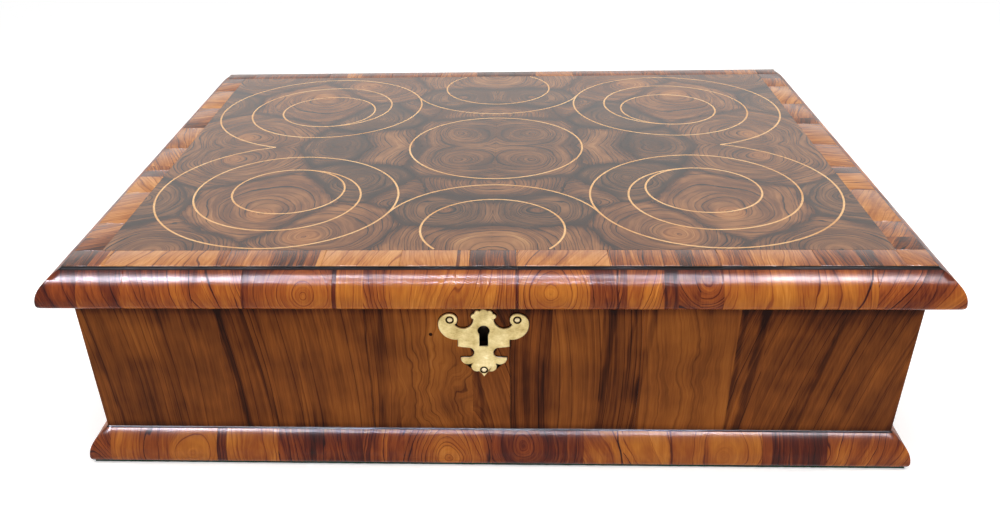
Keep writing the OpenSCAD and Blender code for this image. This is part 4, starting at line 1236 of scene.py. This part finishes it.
@dataclass
class CushionMoulding:
    """Run of cross-grained lengths, mitred at its front corners, with eased joints and an uneven old face."""

    name: str
    section: Section
    half: float
    joints: tuple[float, ...]
    mitre_high: bool
    turn: Matrix
    seed: int
    gap: float = 0.06
    ease: float = 0.12
    step: float = 7.0
    sag: float = 0.16
    sunk_most: float = 0.07
    # Usual share of the sag, and how much a wave and a ripple add or take
    usual: float = 0.6
    wave: float = 0.5
    ripple: float = 0.14
    wave_mm: float = 31.0
    ripple_mm: float = 11.0
    # Faces that lean more than this along the run are its ends and mitres
    end_lean: float = 0.6
    # Nearer to the back than this, edges stay sharp and the face keeps its shape
    sharp_within: float = 0.5
    even_within: float = 0.6
    # What lies this far above the belly also drops a little
    drop_above: float = 2.0
    drop_share: float = 0.4

    def build(self) -> bmesh.types.BMesh:
        """Builds all the lengths of the run.

        Returns:
            One bmesh in millimetres, in the part's frame.
        """
        luck = random.Random(self.seed)
        out = self.section.out
        ends = [-self.half - out, *(s * self.half for s in self.joints), self.half + out * self.mitre_high]
        run = bmesh.new()
        for low, high in zip(ends, ends[1:]):
            length = self._length(low, high)
            self._age(length, luck.uniform(0.0, self.sunk_most))
            part = bpy.data.meshes.new("length")
            length.to_mesh(part)
            length.free()
            run.from_mesh(part)
            bpy.data.meshes.remove(part)
        bmesh.ops.transform(run, matrix=self.turn, verts=run.verts)
        bmesh.ops.recalc_face_normals(run, faces=run.faces)
        return run

    def _length(self, low: float, high: float) -> bmesh.types.BMesh:
        """Cuts one length, with its mitre if it ends the run, and eases its end edges.

        Args:
            low: start along the run.
            high: end along the run.

        Returns:
            The length.
        """
        bm = bmesh.new()
        face = self.section.draw(bm, low + self.gap / 2)
        raised = bmesh.ops.extrude_face_region(bm, geom=[face])["geom"]
        moved = [v for v in raised if isinstance(v, bmesh.types.BMVert)]
        bmesh.ops.translate(bm, verts=moved, vec=(high - low - self.gap, 0, 0))
        if low < -self.half:
            self._mitre(bm, -1)
        if high > self.half:
            self._mitre(bm, 1)
        bmesh.ops.recalc_face_normals(bm, faces=bm.faces)
        rims = [e for e in bm.edges if any(abs(f.normal.x) > self.end_lean for f in e.link_faces)]
        rims = [e for e in rims if min(v.co.y for v in e.verts) < -self.sharp_within]
        bmesh.ops.bevel(bm, geom=rims, offset=self.ease, segments=2, profile=0.5, affect="EDGES", material=-1)
        steps = max(1, int((high - low) / self.step))
        # A cut beside each joint keeps the turn of the light within the eased edge
        beside = self.gap + 1.5 * self.ease
        cuts = (low + (high - low) * i / steps for i in range(1, steps))
        for x in (low + beside, *cuts, high - beside):
            every = [*bm.verts, *bm.edges, *bm.faces]
            bmesh.ops.bisect_plane(bm, geom=every, plane_co=(x, 0, 0), plane_no=(1, 0, 0))
        return bm

    def _mitre(self, bm: bmesh.types.BMesh, way: int) -> None:
        """Cuts a mitre at one end of the run.

        Args:
            bm: the length.
            way: -1 for the low end and 1 for the high end.
        """
        every = [*bm.verts, *bm.edges, *bm.faces]
        spot = (way * (self.half - self.gap / 2), 0, 0)
        cut = bmesh.ops.bisect_plane(bm, geom=every, plane_co=spot, plane_no=(way, 1, 0), clear_outer=True)
        edges = [e for e in cut["geom_cut"] if isinstance(e, bmesh.types.BMEdge)]
        bmesh.ops.edgeloop_fill(bm, edges=edges)

    def _age(self, bm: bmesh.types.BMesh, sunk: float) -> None:
        """Lets the face sink unevenly, so that the light breaks along it.

        Args:
            bm: the length.
            sunk: how far this whole length has sunk.
        """
        bm.normal_update()
        for v in bm.verts:
            if v.co.y > -self.even_within:
                continue
            wave = self.usual + self.wave * noise.noise(v.co / self.wave_mm + Vector((self.seed, 0, 0)))
            ripple = self.ripple * noise.noise(v.co / self.ripple_mm + Vector((0, self.seed, 0)))
            v.co.y += sunk + self.sag * (wave + ripple)
            if v.co.z > self.section.belly_z + self.drop_above:
                v.co.z -= self.drop_share * self.sag * wave


@dataclass
class EasedCopy:
    """Copy of a CAD solid whose sharp edges are rounded off by wear."""

    node: str
    ease: float
    segments: int = 2
    # Corners nearer than this are one, and faces that turn less than this are one
    merge_mm: float = 0.002
    flat_degrees: float = 0.6
    keep: Callable[[bmesh.types.BMEdge], bool] = lambda edge: True
    sharp_degrees: float = 50.0

    def build(self, frame: dict) -> bmesh.types.BMesh:
        """Builds the copy.

        Args:
            frame: the loaded frame.

        Returns:
            A bmesh in millimetres.
        """
        bm = bmesh.new()
        bm.from_mesh(frame["nodes"][self.node].data)
        bmesh.ops.scale(bm, vec=(1 / MM, 1 / MM, 1 / MM), verts=bm.verts)
        bmesh.ops.remove_doubles(bm, verts=bm.verts, dist=self.merge_mm)
        flat = math.radians(self.flat_degrees)
        bmesh.ops.dissolve_limit(bm, angle_limit=flat, verts=bm.verts, edges=bm.edges)
        turn = math.radians(self.sharp_degrees)
        folds = [e for e in bm.edges if len(e.link_faces) == 2]
        sharp = [e for e in folds if e.calc_face_angle() > turn and self.keep(e)]
        bevel = dict(offset=self.ease, segments=self.segments, profile=0.5, affect="EDGES", material=-1)
        bmesh.ops.bevel(bm, geom=sharp, clamp_overlap=True, **bevel)
        return bm


@dataclass
class BaizeSheet:
    """Sheet of baize glued under the box, cut by hand, so that its edge is ragged."""

    half_x: float = CASE_X + 10.0
    front: float = -CASE_Y - 10.0
    back: float = CASE_Y
    thick: float = 1.4
    stitch: float = 2.4
    fray: float = 0.5
    thread: float = 2.1
    levels: tuple[float, ...] = (0.3, 0.7, 1.0)

    def build(self) -> bmesh.types.BMesh:
        """Builds the sheet.

        Returns:
            A bmesh in millimetres.
        """
        bm = bmesh.new()
        bmesh.ops.create_grid(bm, x_segments=1, y_segments=1, size=1.0)
        middle = (self.front + self.back) / 2
        half_y = (self.back - self.front) / 2
        bmesh.ops.scale(bm, vec=(self.half_x, half_y, 1), verts=bm.verts)
        bmesh.ops.translate(bm, verts=bm.verts, vec=(0, middle, 0))
        for edge in bm.edges[:]:
            bmesh.ops.subdivide_edges(bm, edges=[edge], cuts=int(edge.calc_length() / self.stitch))
        face = next(iter(bm.faces))
        for level in self.levels:
            self._fray(face.verts[:], middle, half_y)
            raised = bmesh.ops.extrude_face_region(bm, geom=[face])["geom"]
            if level > self.levels[0]:
                bmesh.ops.delete(bm, geom=[face], context="FACES_ONLY")
            face = next(f for f in raised if isinstance(f, bmesh.types.BMFace))
            for v in face.verts:
                v.co.z = level * self.thick
        bmesh.ops.recalc_face_normals(bm, faces=bm.faces)
        return bm

    def _fray(self, verts: list[bmesh.types.BMVert], middle: float, half_y: float) -> None:
        """Pulls the rim in unevenly.

        Args:
            verts: the sheet's rim at one level.
            middle: middle of the sheet along Y.
            half_y: half its depth.
        """
        for v in verts:
            thread = Vector((v.co.x / self.thread, v.co.y / self.thread, v.co.z * 3))
            ragged = self.fray * (0.5 + 0.5 * noise.noise(thread))
            inward = Vector((v.co.x / self.half_x, (v.co.y - middle) / half_y, 0))
            axis = 0 if abs(inward.x) > abs(inward.y) else 1
            v.co[axis] -= math.copysign(ragged, inward[axis])


# Sub-assemblies


@dataclass(frozen=True)
class Rail:
    """The moulding round the front and both sides of the lid or of the base."""

    shop: Workshop
    part: str
    section: Section
    joints: tuple[float, ...]
    half_x: float
    half_y: float
    middle_y: float
    level: float
    look: RunVeneer
    side_leaves: tuple[Leaf, ...]
    number: int
    side_joints: tuple[float, ...] = (-0.74, -0.45, -0.16, 0.11, 0.4, 0.7)

    def build(self) -> None:
        """Builds the three runs and gives each its own figure."""
        ahead = Matrix.Translation((0, self.middle_y - self.half_y, self.level))
        beside = Matrix.Translation((self.half_x, self.middle_y, self.level))
        right = beside @ Matrix.Rotation(math.pi / 2, 4, "Z")
        left = Matrix.Scale(-1, 4, (1, 0, 0)) @ right
        slot = f"{self.part}_moulding"
        for side, half, joints, turn, luck, look in (
            ("front", self.half_x, self.joints, ahead, 3 + self.number, self.look),
            ("left", self.half_y, self.side_joints, left, 21 + 4 * self.number, self._look("left", 54)),
            ("right", self.half_y, self.side_joints, right, 20 + 4 * self.number, self._look("right", 50)),
        ):
            run = CushionMoulding(f"{slot}_{side}", self.section, half, joints, side == "front", turn, luck)
            self.shop.put(run.build(), f"{run.name}_veneered", run.name, slot, look.dress())

    def _look(self, side: str, seed: int) -> RunVeneer:
        """Makes the veneer of a side, which gets less light than the front.

        Args:
            side: left or right.
            seed: seed of its figure on the lid.

        Returns:
            The veneer.
        """
        name = f"olivewood_cushion_{self.part}_{side}"
        seed += 9 * self.number
        dull = replace(self.look, gloss=0.24, shine=0.06, streaks=())
        return replace(dull, name=name, leaves=self.side_leaves, run=Axis.ALONG_Y, seed=seed)


@dataclass(frozen=True)
class Mouldings:
    """The cushion mouldings of the lid and the base."""

    shop: Workshop
    lid_section: Section = Section(height=20.0, out=14.0, belly_r=15.0, belly_z=2.6, foot_r=3.5)
    base_section: Section = Section(height=20.5, out=11.7, belly_r=17.0, belly_z=3.2, foot_r=4.2)
    lid_joints: tuple[float, ...] = (-0.85, -0.57, -0.36, -0.08, 0.06, 0.285, 0.52, 0.86)
    base_joints: tuple[float, ...] = (-0.71, -0.55, -0.33, 0.0, 0.18, 0.45, 0.68, 0.84)

    def build(self) -> None:
        """Builds both rails."""
        lid_top = LID_Z + self.lid_section.height
        base_top = CASE_FLOOR_Z + self.base_section.height
        growth = Growth(bend_mm=1.5, bend_span_mm=18.0, crowding=1.9)
        figure = dict(banding=1.3, lining=0.54, fibres=0.35, patches=0.42, grain=0.22, growth=growth)
        polish = dict(tones=CUSHION_TONES, red_tones=CUSHION_RED_TONES, gloss=0.12, shine=0.16)
        # Painted shade: black along the top edge, in the gap under the panel, and a painted darker reflection
        # fading down the top few millimetres
        shade_and_dirt = (PaintedShade(lid_top - 0.5, LID_TOP_Z, 0.6), PaintedShade(lid_top - 1.0, LID_TOP_Z, 5.0, 0.22))
        name = "olivewood_cushion_lid_front"
        lid_look = RunVeneer(name, LID_FRONT, Axis.ALONG_X, True, seed=11, shade_and_dirt=shade_and_dirt, **figure, **polish)
        lid_look = replace(lid_look, streaks=LID_CRACKS, span=(LID_Z, lid_top))
        # Painted shade: black along the top edge where it meets the case, and along the foot above the baize
        shade_and_dirt = (PaintedShade(base_top - 0.5, LID_Z, 0.4), PaintedShade(0.0, CASE_FLOOR_Z + 0.5, 0.5))
        name = "olivewood_cushion_base_front"
        base_look = replace(lid_look, name=name, leaves=BASE_FRONT, seed=31, shade_and_dirt=shade_and_dirt, streaks=BASE_CRACKS)
        base_look = replace(base_look, span=(CASE_FLOOR_Z, base_top), gloss=0.125, shine=0.18)
        lid = (self.lid_section, self.lid_joints, PANEL_X, PANEL_Y, PANEL_MID_Y, LID_Z)
        base = (self.base_section, self.base_joints, CASE_X, CASE_Y, 0.0, CASE_FLOOR_Z)
        Rail(self.shop, "lid", *lid, lid_look, LID_SIDE, 0).build()
        Rail(self.shop, "base", *base, base_look, BASE_SIDE, 1).build()


@dataclass(frozen=True)
class LidTop:
    """The veneered top of the lid: oysters, strings and crossbanding."""

    shop: Workshop
    ease: float = 0.3
    opened: float = 0.45
    # Painted shade: below the top, the band's outer faces, in the gap beside the mouldings, are black
    shade_and_dirt: tuple[PaintedShade, ...] = (PaintedShade(0.0, LID_TOP_Z - 0.45, 0.1),)

    def build(self) -> None:
        """Dresses the oysters and strings and builds the four bands."""
        quarters = (f"oysters_{a}_{b}" for a in ("front", "back") for b in ("left", "right"))
        self.shop.paint(OysterVeneer().dress(), *quarters)
        self.shop.paint(Boxwood().dress(), "stringing")
        for node, leaves, run, seed in (
            ("crossband_front", FRONT_BAND, Axis.ALONG_X, 71.0),
            ("crossband_back", BACK_BAND, Axis.ALONG_X, 83.0),
            ("crossband_left", SIDE_BAND, Axis.ALONG_Y, 90.0),
            ("crossband_right", SIDE_BAND, Axis.ALONG_Y, 97.0),
        ):
            veneer = RunVeneer(f"olivewood_{node}", leaves, run, False, seed=seed, gloss=0.17, shade_and_dirt=self.shade_and_dirt)
            worn = EasedCopy(node, self.ease, keep=lambda e: min(v.co.z for v in e.verts) > LID_TOP_Z - TOUCH)
            strip = worn.build(self.shop.frame)
            self._shrink(strip)
            self.shop.put(strip, f"{node}_veneered", node, "crossbanding", veneer.dress())

    def _shrink(self, strip: bmesh.types.BMesh) -> None:
        """Draws the outer faces of a band back from the mouldings, where the glue line has opened.

        Args:
            strip: the band.
        """
        for v in strip.verts:
            if abs(v.co.x) > PANEL_X - self.opened:
                v.co.x -= math.copysign(self.opened, v.co.x)
            if v.co.y < PANEL_MID_Y - PANEL_Y + self.opened:
                v.co.y += self.opened


@dataclass(frozen=True)
class Case:
    """The case, inside and out, and the boards of the lid."""

    shop: Workshop
    growth: Growth = Growth(bend_mm=0.8, bend_span_mm=55.0, fade_mm=260.0, crowding=0.9)
    # Painted shade: a soft shadow down the walls under the lid's moulding, darkest just below it, and shade
    # just above the base moulding
    shade_and_dirt: tuple[PaintedShade, ...] = (
        PaintedShade(RIM_Z - 3.0, LID_Z, 22.0, 0.14),
        PaintedShade(RIM_Z - 8.5, LID_Z, 5.5, 0.26),
        PaintedShade(0.0, CASE_FLOOR_Z + 21.0, 4.0, 0.15),
    )
    baize_cut: tuple[float, float] = (0.52, 0.399)

    def build(self) -> None:
        """Dresses the walls, rim, boards and lining, and lays the baize."""
        self._veneer()
        pine_x = Pine("pine_boards_lengthwise", Axis.ALONG_X).dress()
        pine_y = Pine("pine_boards_endwise", Axis.ALONG_Y).dress()
        key_board = Pine("pine_board_with_keyhole", Axis.ALONG_X, (KEY_X, KEY_Z)).dress()
        self.shop.paint(key_board, "front_board")
        self.shop.paint(pine_x, "back_board", "bottom_board_front", "bottom_board_back")
        self.shop.paint(pine_x, "lid_board_front", "lid_board_back")
        self.shop.paint(pine_y, "left_board", "right_board")
        self.shop.paint(LiningPaper().dress(), "lining_floor", "lining_walls", "lining_lid")
        sheet = self.shop.put(BaizeSheet().build(), "baize_cloth", "baize", "baize", Baize().dress())

    def _veneer(self) -> None:
        """Dresses the veneers of the walls and the facing of the rim."""
        figure = dict(banding=1.05, lining=0.36, fibres=0.52, patches=0.6, relief_mm=0.03, growth=self.growth)
        polish = dict(tones=CASE_TONES, red_tones=CASE_RED_TONES, gloss=0.38, shine=0.06, shade_and_dirt=self.shade_and_dirt)
        front = RunVeneer("olivewood_case_front", CASE_FRONT, Axis.ALONG_X, True, seed=5, **figure, **polish)
        span = (CASE_FLOOR_Z + 20, RIM_Z)
        front = replace(front, streaks=CASE_STREAKS, span=span, dark_spots=CASE_DARK_SPOTS, curls=CASE_CURLS)
        self.shop.paint(front.dress(), "front_veneer")
        side = replace(front, leaves=CASE_SIDE, run=Axis.ALONG_Y, streaks=(), dark_spots=(), curls=())
        for node, seed in (("left_veneer", 120.0), ("right_veneer", 140.0)):
            self.shop.paint(replace(side, name=f"olivewood_case_{node}", seed=seed).dress(), node)
        rim = RunVeneer("olivewood_rim", FRONT_BAND, Axis.ALONG_X, False, seed=160, gloss=0.4, shine=0.3)
        rim_side = replace(rim, name="olivewood_rim_side", leaves=SIDE_BAND, run=Axis.ALONG_Y, seed=170)
        self.shop.paint(rim.dress(), "rim_facing_front", "rim_facing_back")
        self.shop.paint(rim_side.dress(), "rim_facing_left", "rim_facing_right")


@dataclass(frozen=True)
class Metalwork:
    """The escutcheon, the lock and the hinges."""

    shop: Workshop
    plate: float = 1.2
    plate_ease: float = 0.42
    # How far the plate's foot is widened, and how far in front of the wood it is painted black as its shadow
    foot_shadow_reach: float = 0.6
    foot_shadow_depth: float = 0.55
    plate_tones: tuple[str, ...] = ("#1a130b", "#84703f", "#bfaa74", "#dccb98", "#fff4d6")
    pin_tones: tuple[str, ...] = ("#8a744c", "#c9b284", "#e4d3a9", "#f0e4c4")
    hinge_tones: tuple[str, ...] = ("#33250f", "#6d5228", "#93733c", "#b3945a")

    def build(self) -> None:
        """Builds the escutcheon and dresses the rest."""
        pins = tuple((KEY_X + x * ESCUTCHEON_H, ESCUTCHEON_Z + z * ESCUTCHEON_H) for x, z in PIN_SHARES)
        brass = AgedBrass("brass_escutcheon_worn_painted_light", self.plate_tones, pins, -CASE_Y - self.foot_shadow_depth)
        face_y = -CASE_Y - self.plate + TOUCH
        plate = EasedCopy(
            "escutcheon", self.plate_ease, segments=3, keep=lambda e: max(v.co.y for v in e.verts) < face_y
        )
        outline = plate.build(self.shop.frame)
        # The widened foot is painted black, as the plate's shadow on the wood
        self._widen_foot_for_shadow(outline)
        self.shop.put(outline, "escutcheon_plate", "escutcheon", "escutcheon_brass", brass.dress())
        self.shop.paint(AgedBrass("brass_pins_bright", self.pin_tones).dress(), "escutcheon_pins")
        iron = Iron().dress()
        lock = [f"lock_{piece}" for piece in ("plate", "guides", "drill_pin", "spring", "screws", "bolt")]
        self.shop.paint(iron, *lock, "link_plate", "link_tongues", "link_screws", "bottom_nails")
        leaves = [f"hinge_leaf_{part}_{side}" for part in ("case", "lid") for side in ("left", "right")]
        hinge_brass = AgedBrass("brass_hinges_dull", self.hinge_tones).dress()
        self.shop.paint(hinge_brass, *leaves, "hinge_pins", "hinge_screws_case", "hinge_screws_lid")

    def _widen_foot_for_shadow(self, plate: bmesh.types.BMesh) -> None:
        """Widens the foot of the plate, which is painted black as its shadow on the wood.

        Args:
            plate: the plate.
        """
        plate.normal_update()
        foot = [v for v in plate.verts if v.co.y > -CASE_Y - TOUCH]
        outward = {v: Vector((v.normal.x, 0, v.normal.z)).normalized() for v in foot}
        for v, way in outward.items():
            v.co += self.foot_shadow_reach * way


# Stage


@dataclass(frozen=True)
class Camera:
    """The photograph's camera: a pinhole above the middle of the front, turned a little."""

    place: tuple[float, float, float] = (10.6, -668.2, 381.8)
    yaw: float = 3.03
    pitch: float = 32.68
    roll: float = 1.42
    lens: float = 33.4
    sensor: float = 36.0
    shift: tuple[float, float] = (0.0322, 0.0894)

    def build(self) -> None:
        """Puts the camera in the scene."""
        data = bpy.data.cameras.new("camera")
        data.lens = self.lens
        data.sensor_width = self.sensor
        data.shift_x, data.shift_y = self.shift
        camera = add_object("camera", data)
        yaw, pitch, roll = (math.radians(a) for a in (self.yaw, 90 - self.pitch, -self.roll))
        turn = Matrix.Rotation(yaw, 4, "Z") @ Matrix.Rotation(pitch, 4, "X") @ Matrix.Rotation(roll, 4, "Z")
        camera.matrix_world = Matrix.Translation(Vector(self.place) * MM) @ turn
        bpy.context.scene.camera = camera


@dataclass(frozen=True)
class Lamp:
    """Rectangular lamp that hangs level over the box."""

    name: str
    place: tuple[float, float, float]
    size: tuple[float, float]
    watts: float
    gloss_only: bool = False
    tint: str = "#fffaf4"
    seen_in_gloss: bool = True

    def build(self) -> None:
        """Puts the lamp in the scene."""
        data = bpy.data.lights.new(self.name, "AREA")
        data.shape = "RECTANGLE"
        data.size, data.size_y = self.size
        data.energy = self.watts
        data.color = linear(self.tint)[:3]
        lamp = add_object(self.name, data)
        lamp.location = self.place
        lamp.visible_camera = False
        lamp.visible_diffuse = not self.gloss_only
        lamp.visible_glossy = self.seen_in_gloss


@dataclass(frozen=True)
class Studio:
    """Plain pale floor, white surround, a broad soft light overhead and strips that only gloss shows."""

    lamps: tuple[Lamp, ...] = (
        Lamp("soft_light", (0.0, -0.25, 1.9), (2.4, 1.1), 34.0, seen_in_gloss=False),
        Lamp("strip_light_left", (-1.0, -0.62, 1.9), (0.7, 0.16), 70.0, True, "#f0eeff"),
        Lamp("strip_light_left_wide", (-1.0, -0.61, 1.9), (0.74, 0.46), 84.0, True, "#f0eeff"),
        Lamp("strip_light_middle_near", (-0.05, -0.86, 1.9), (1.24, 0.02), 22.0, True, "#f0eeff"),
        Lamp("strip_light_middle_far", (-0.05, -0.50, 1.9), (1.24, 0.02), 46.0, True, "#f0eeff"),
        Lamp("strip_light_right", (0.86, -0.62, 1.9), (0.66, 0.14), 48.0, True, "#f4eef8"),
        Lamp("strip_light_right_wide", (0.86, -0.61, 1.9), (0.70, 0.44), 60.0, True, "#f4eef8"),
    )
    surround: float = 0.42
    floor_glow: float = 0.42
    floor_half: float = 6.0
    floor_patch_mm: float = 400.0
    floor_tones: tuple[str, ...] = ("#f1f1f0", "#f6f6f5")
    floor_fade_mm: tuple[float, float] = (700.0, 1500.0)

    def build(self) -> None:
        """Puts the floor, the surround and the lights in the scene."""
        self._surround()
        for lamp in self.lamps:
            lamp.build()
        self._floor()
        bpy.context.scene.view_settings.view_transform = "Standard"

    def _seen(self, g: Graph) -> Socket:
        """Adds the factor that is 1 for what the camera, gloss or glass sees.

        Args:
            g: graph of the floor or the world.

        Returns:
            The factor.
        """
        seen = g.add("LightPath", out="Is Camera Ray")
        for kind in ("Is Glossy Ray", "Is Transmission Ray"):
            seen = g.add("Math:MAXIMUM", seen, g.add("LightPath", out=kind))
        return seen

    def _surround(self) -> None:
        """White to the eye, and a dimmer even light on the object."""
        world = bpy.data.worlds.new("surround")
        bpy.context.scene.world = world
        g = Graph("surround", world)
        lit = g.add("Background", linear("#f4f7ff"), self.surround)
        white = g.add("Background", linear("#ffffff"))
        g.add("OutputWorld", g.add("MixShader", self._seen(g), lit, white))

    def _floor(self) -> None:
        """A large pale floor that keeps the object's shadow."""
        g = Graph("floor_pale")
        place = g.place()
        colour = g.tones(g.add("TexNoise", place, 1 / self.floor_patch_mm, 1.0), self.floor_tones)
        seen = self._seen(g)
        glow = g.add("Emission", Strength=g.add("Math:MULTIPLY", seen, self.floor_glow))
        near = g.add("AddShader", g.add("BsdfDiffuse", colour), glow)
        # The floor keeps the shadow near the object and runs into the white surround farther off
        reach = g.add("VectorMath:LENGTH", place)
        far = g.add("MapRange:SMOOTHSTEP", reach, *self.floor_fade_mm, 0.0, 1.0)
        far = g.add("Math:MULTIPLY", far, seen)
        g.add("OutputMaterial", g.add("MixShader", far, near, g.add("Emission", Strength=1.0)))
        bm = bmesh.new()
        bmesh.ops.create_grid(bm, x_segments=2, y_segments=2, size=self.floor_half)
        mesh = bpy.data.meshes.new("floor")
        bm.to_mesh(mesh)
        bm.free()
        mesh.materials.append(g.material)
        add_object("floor", mesh)


def main() -> None:
    """Builds the whole scene in order."""
    logging.basicConfig(level=logging.INFO, format="%(name)s: %(message)s")
    shop = Workshop(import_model())
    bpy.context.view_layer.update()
    Camera().build()
    Studio().build()
    for assembly in (Mouldings, LidTop, Case, Metalwork):
        assembly(shop).build()


if __name__ == "__main__":
    main()
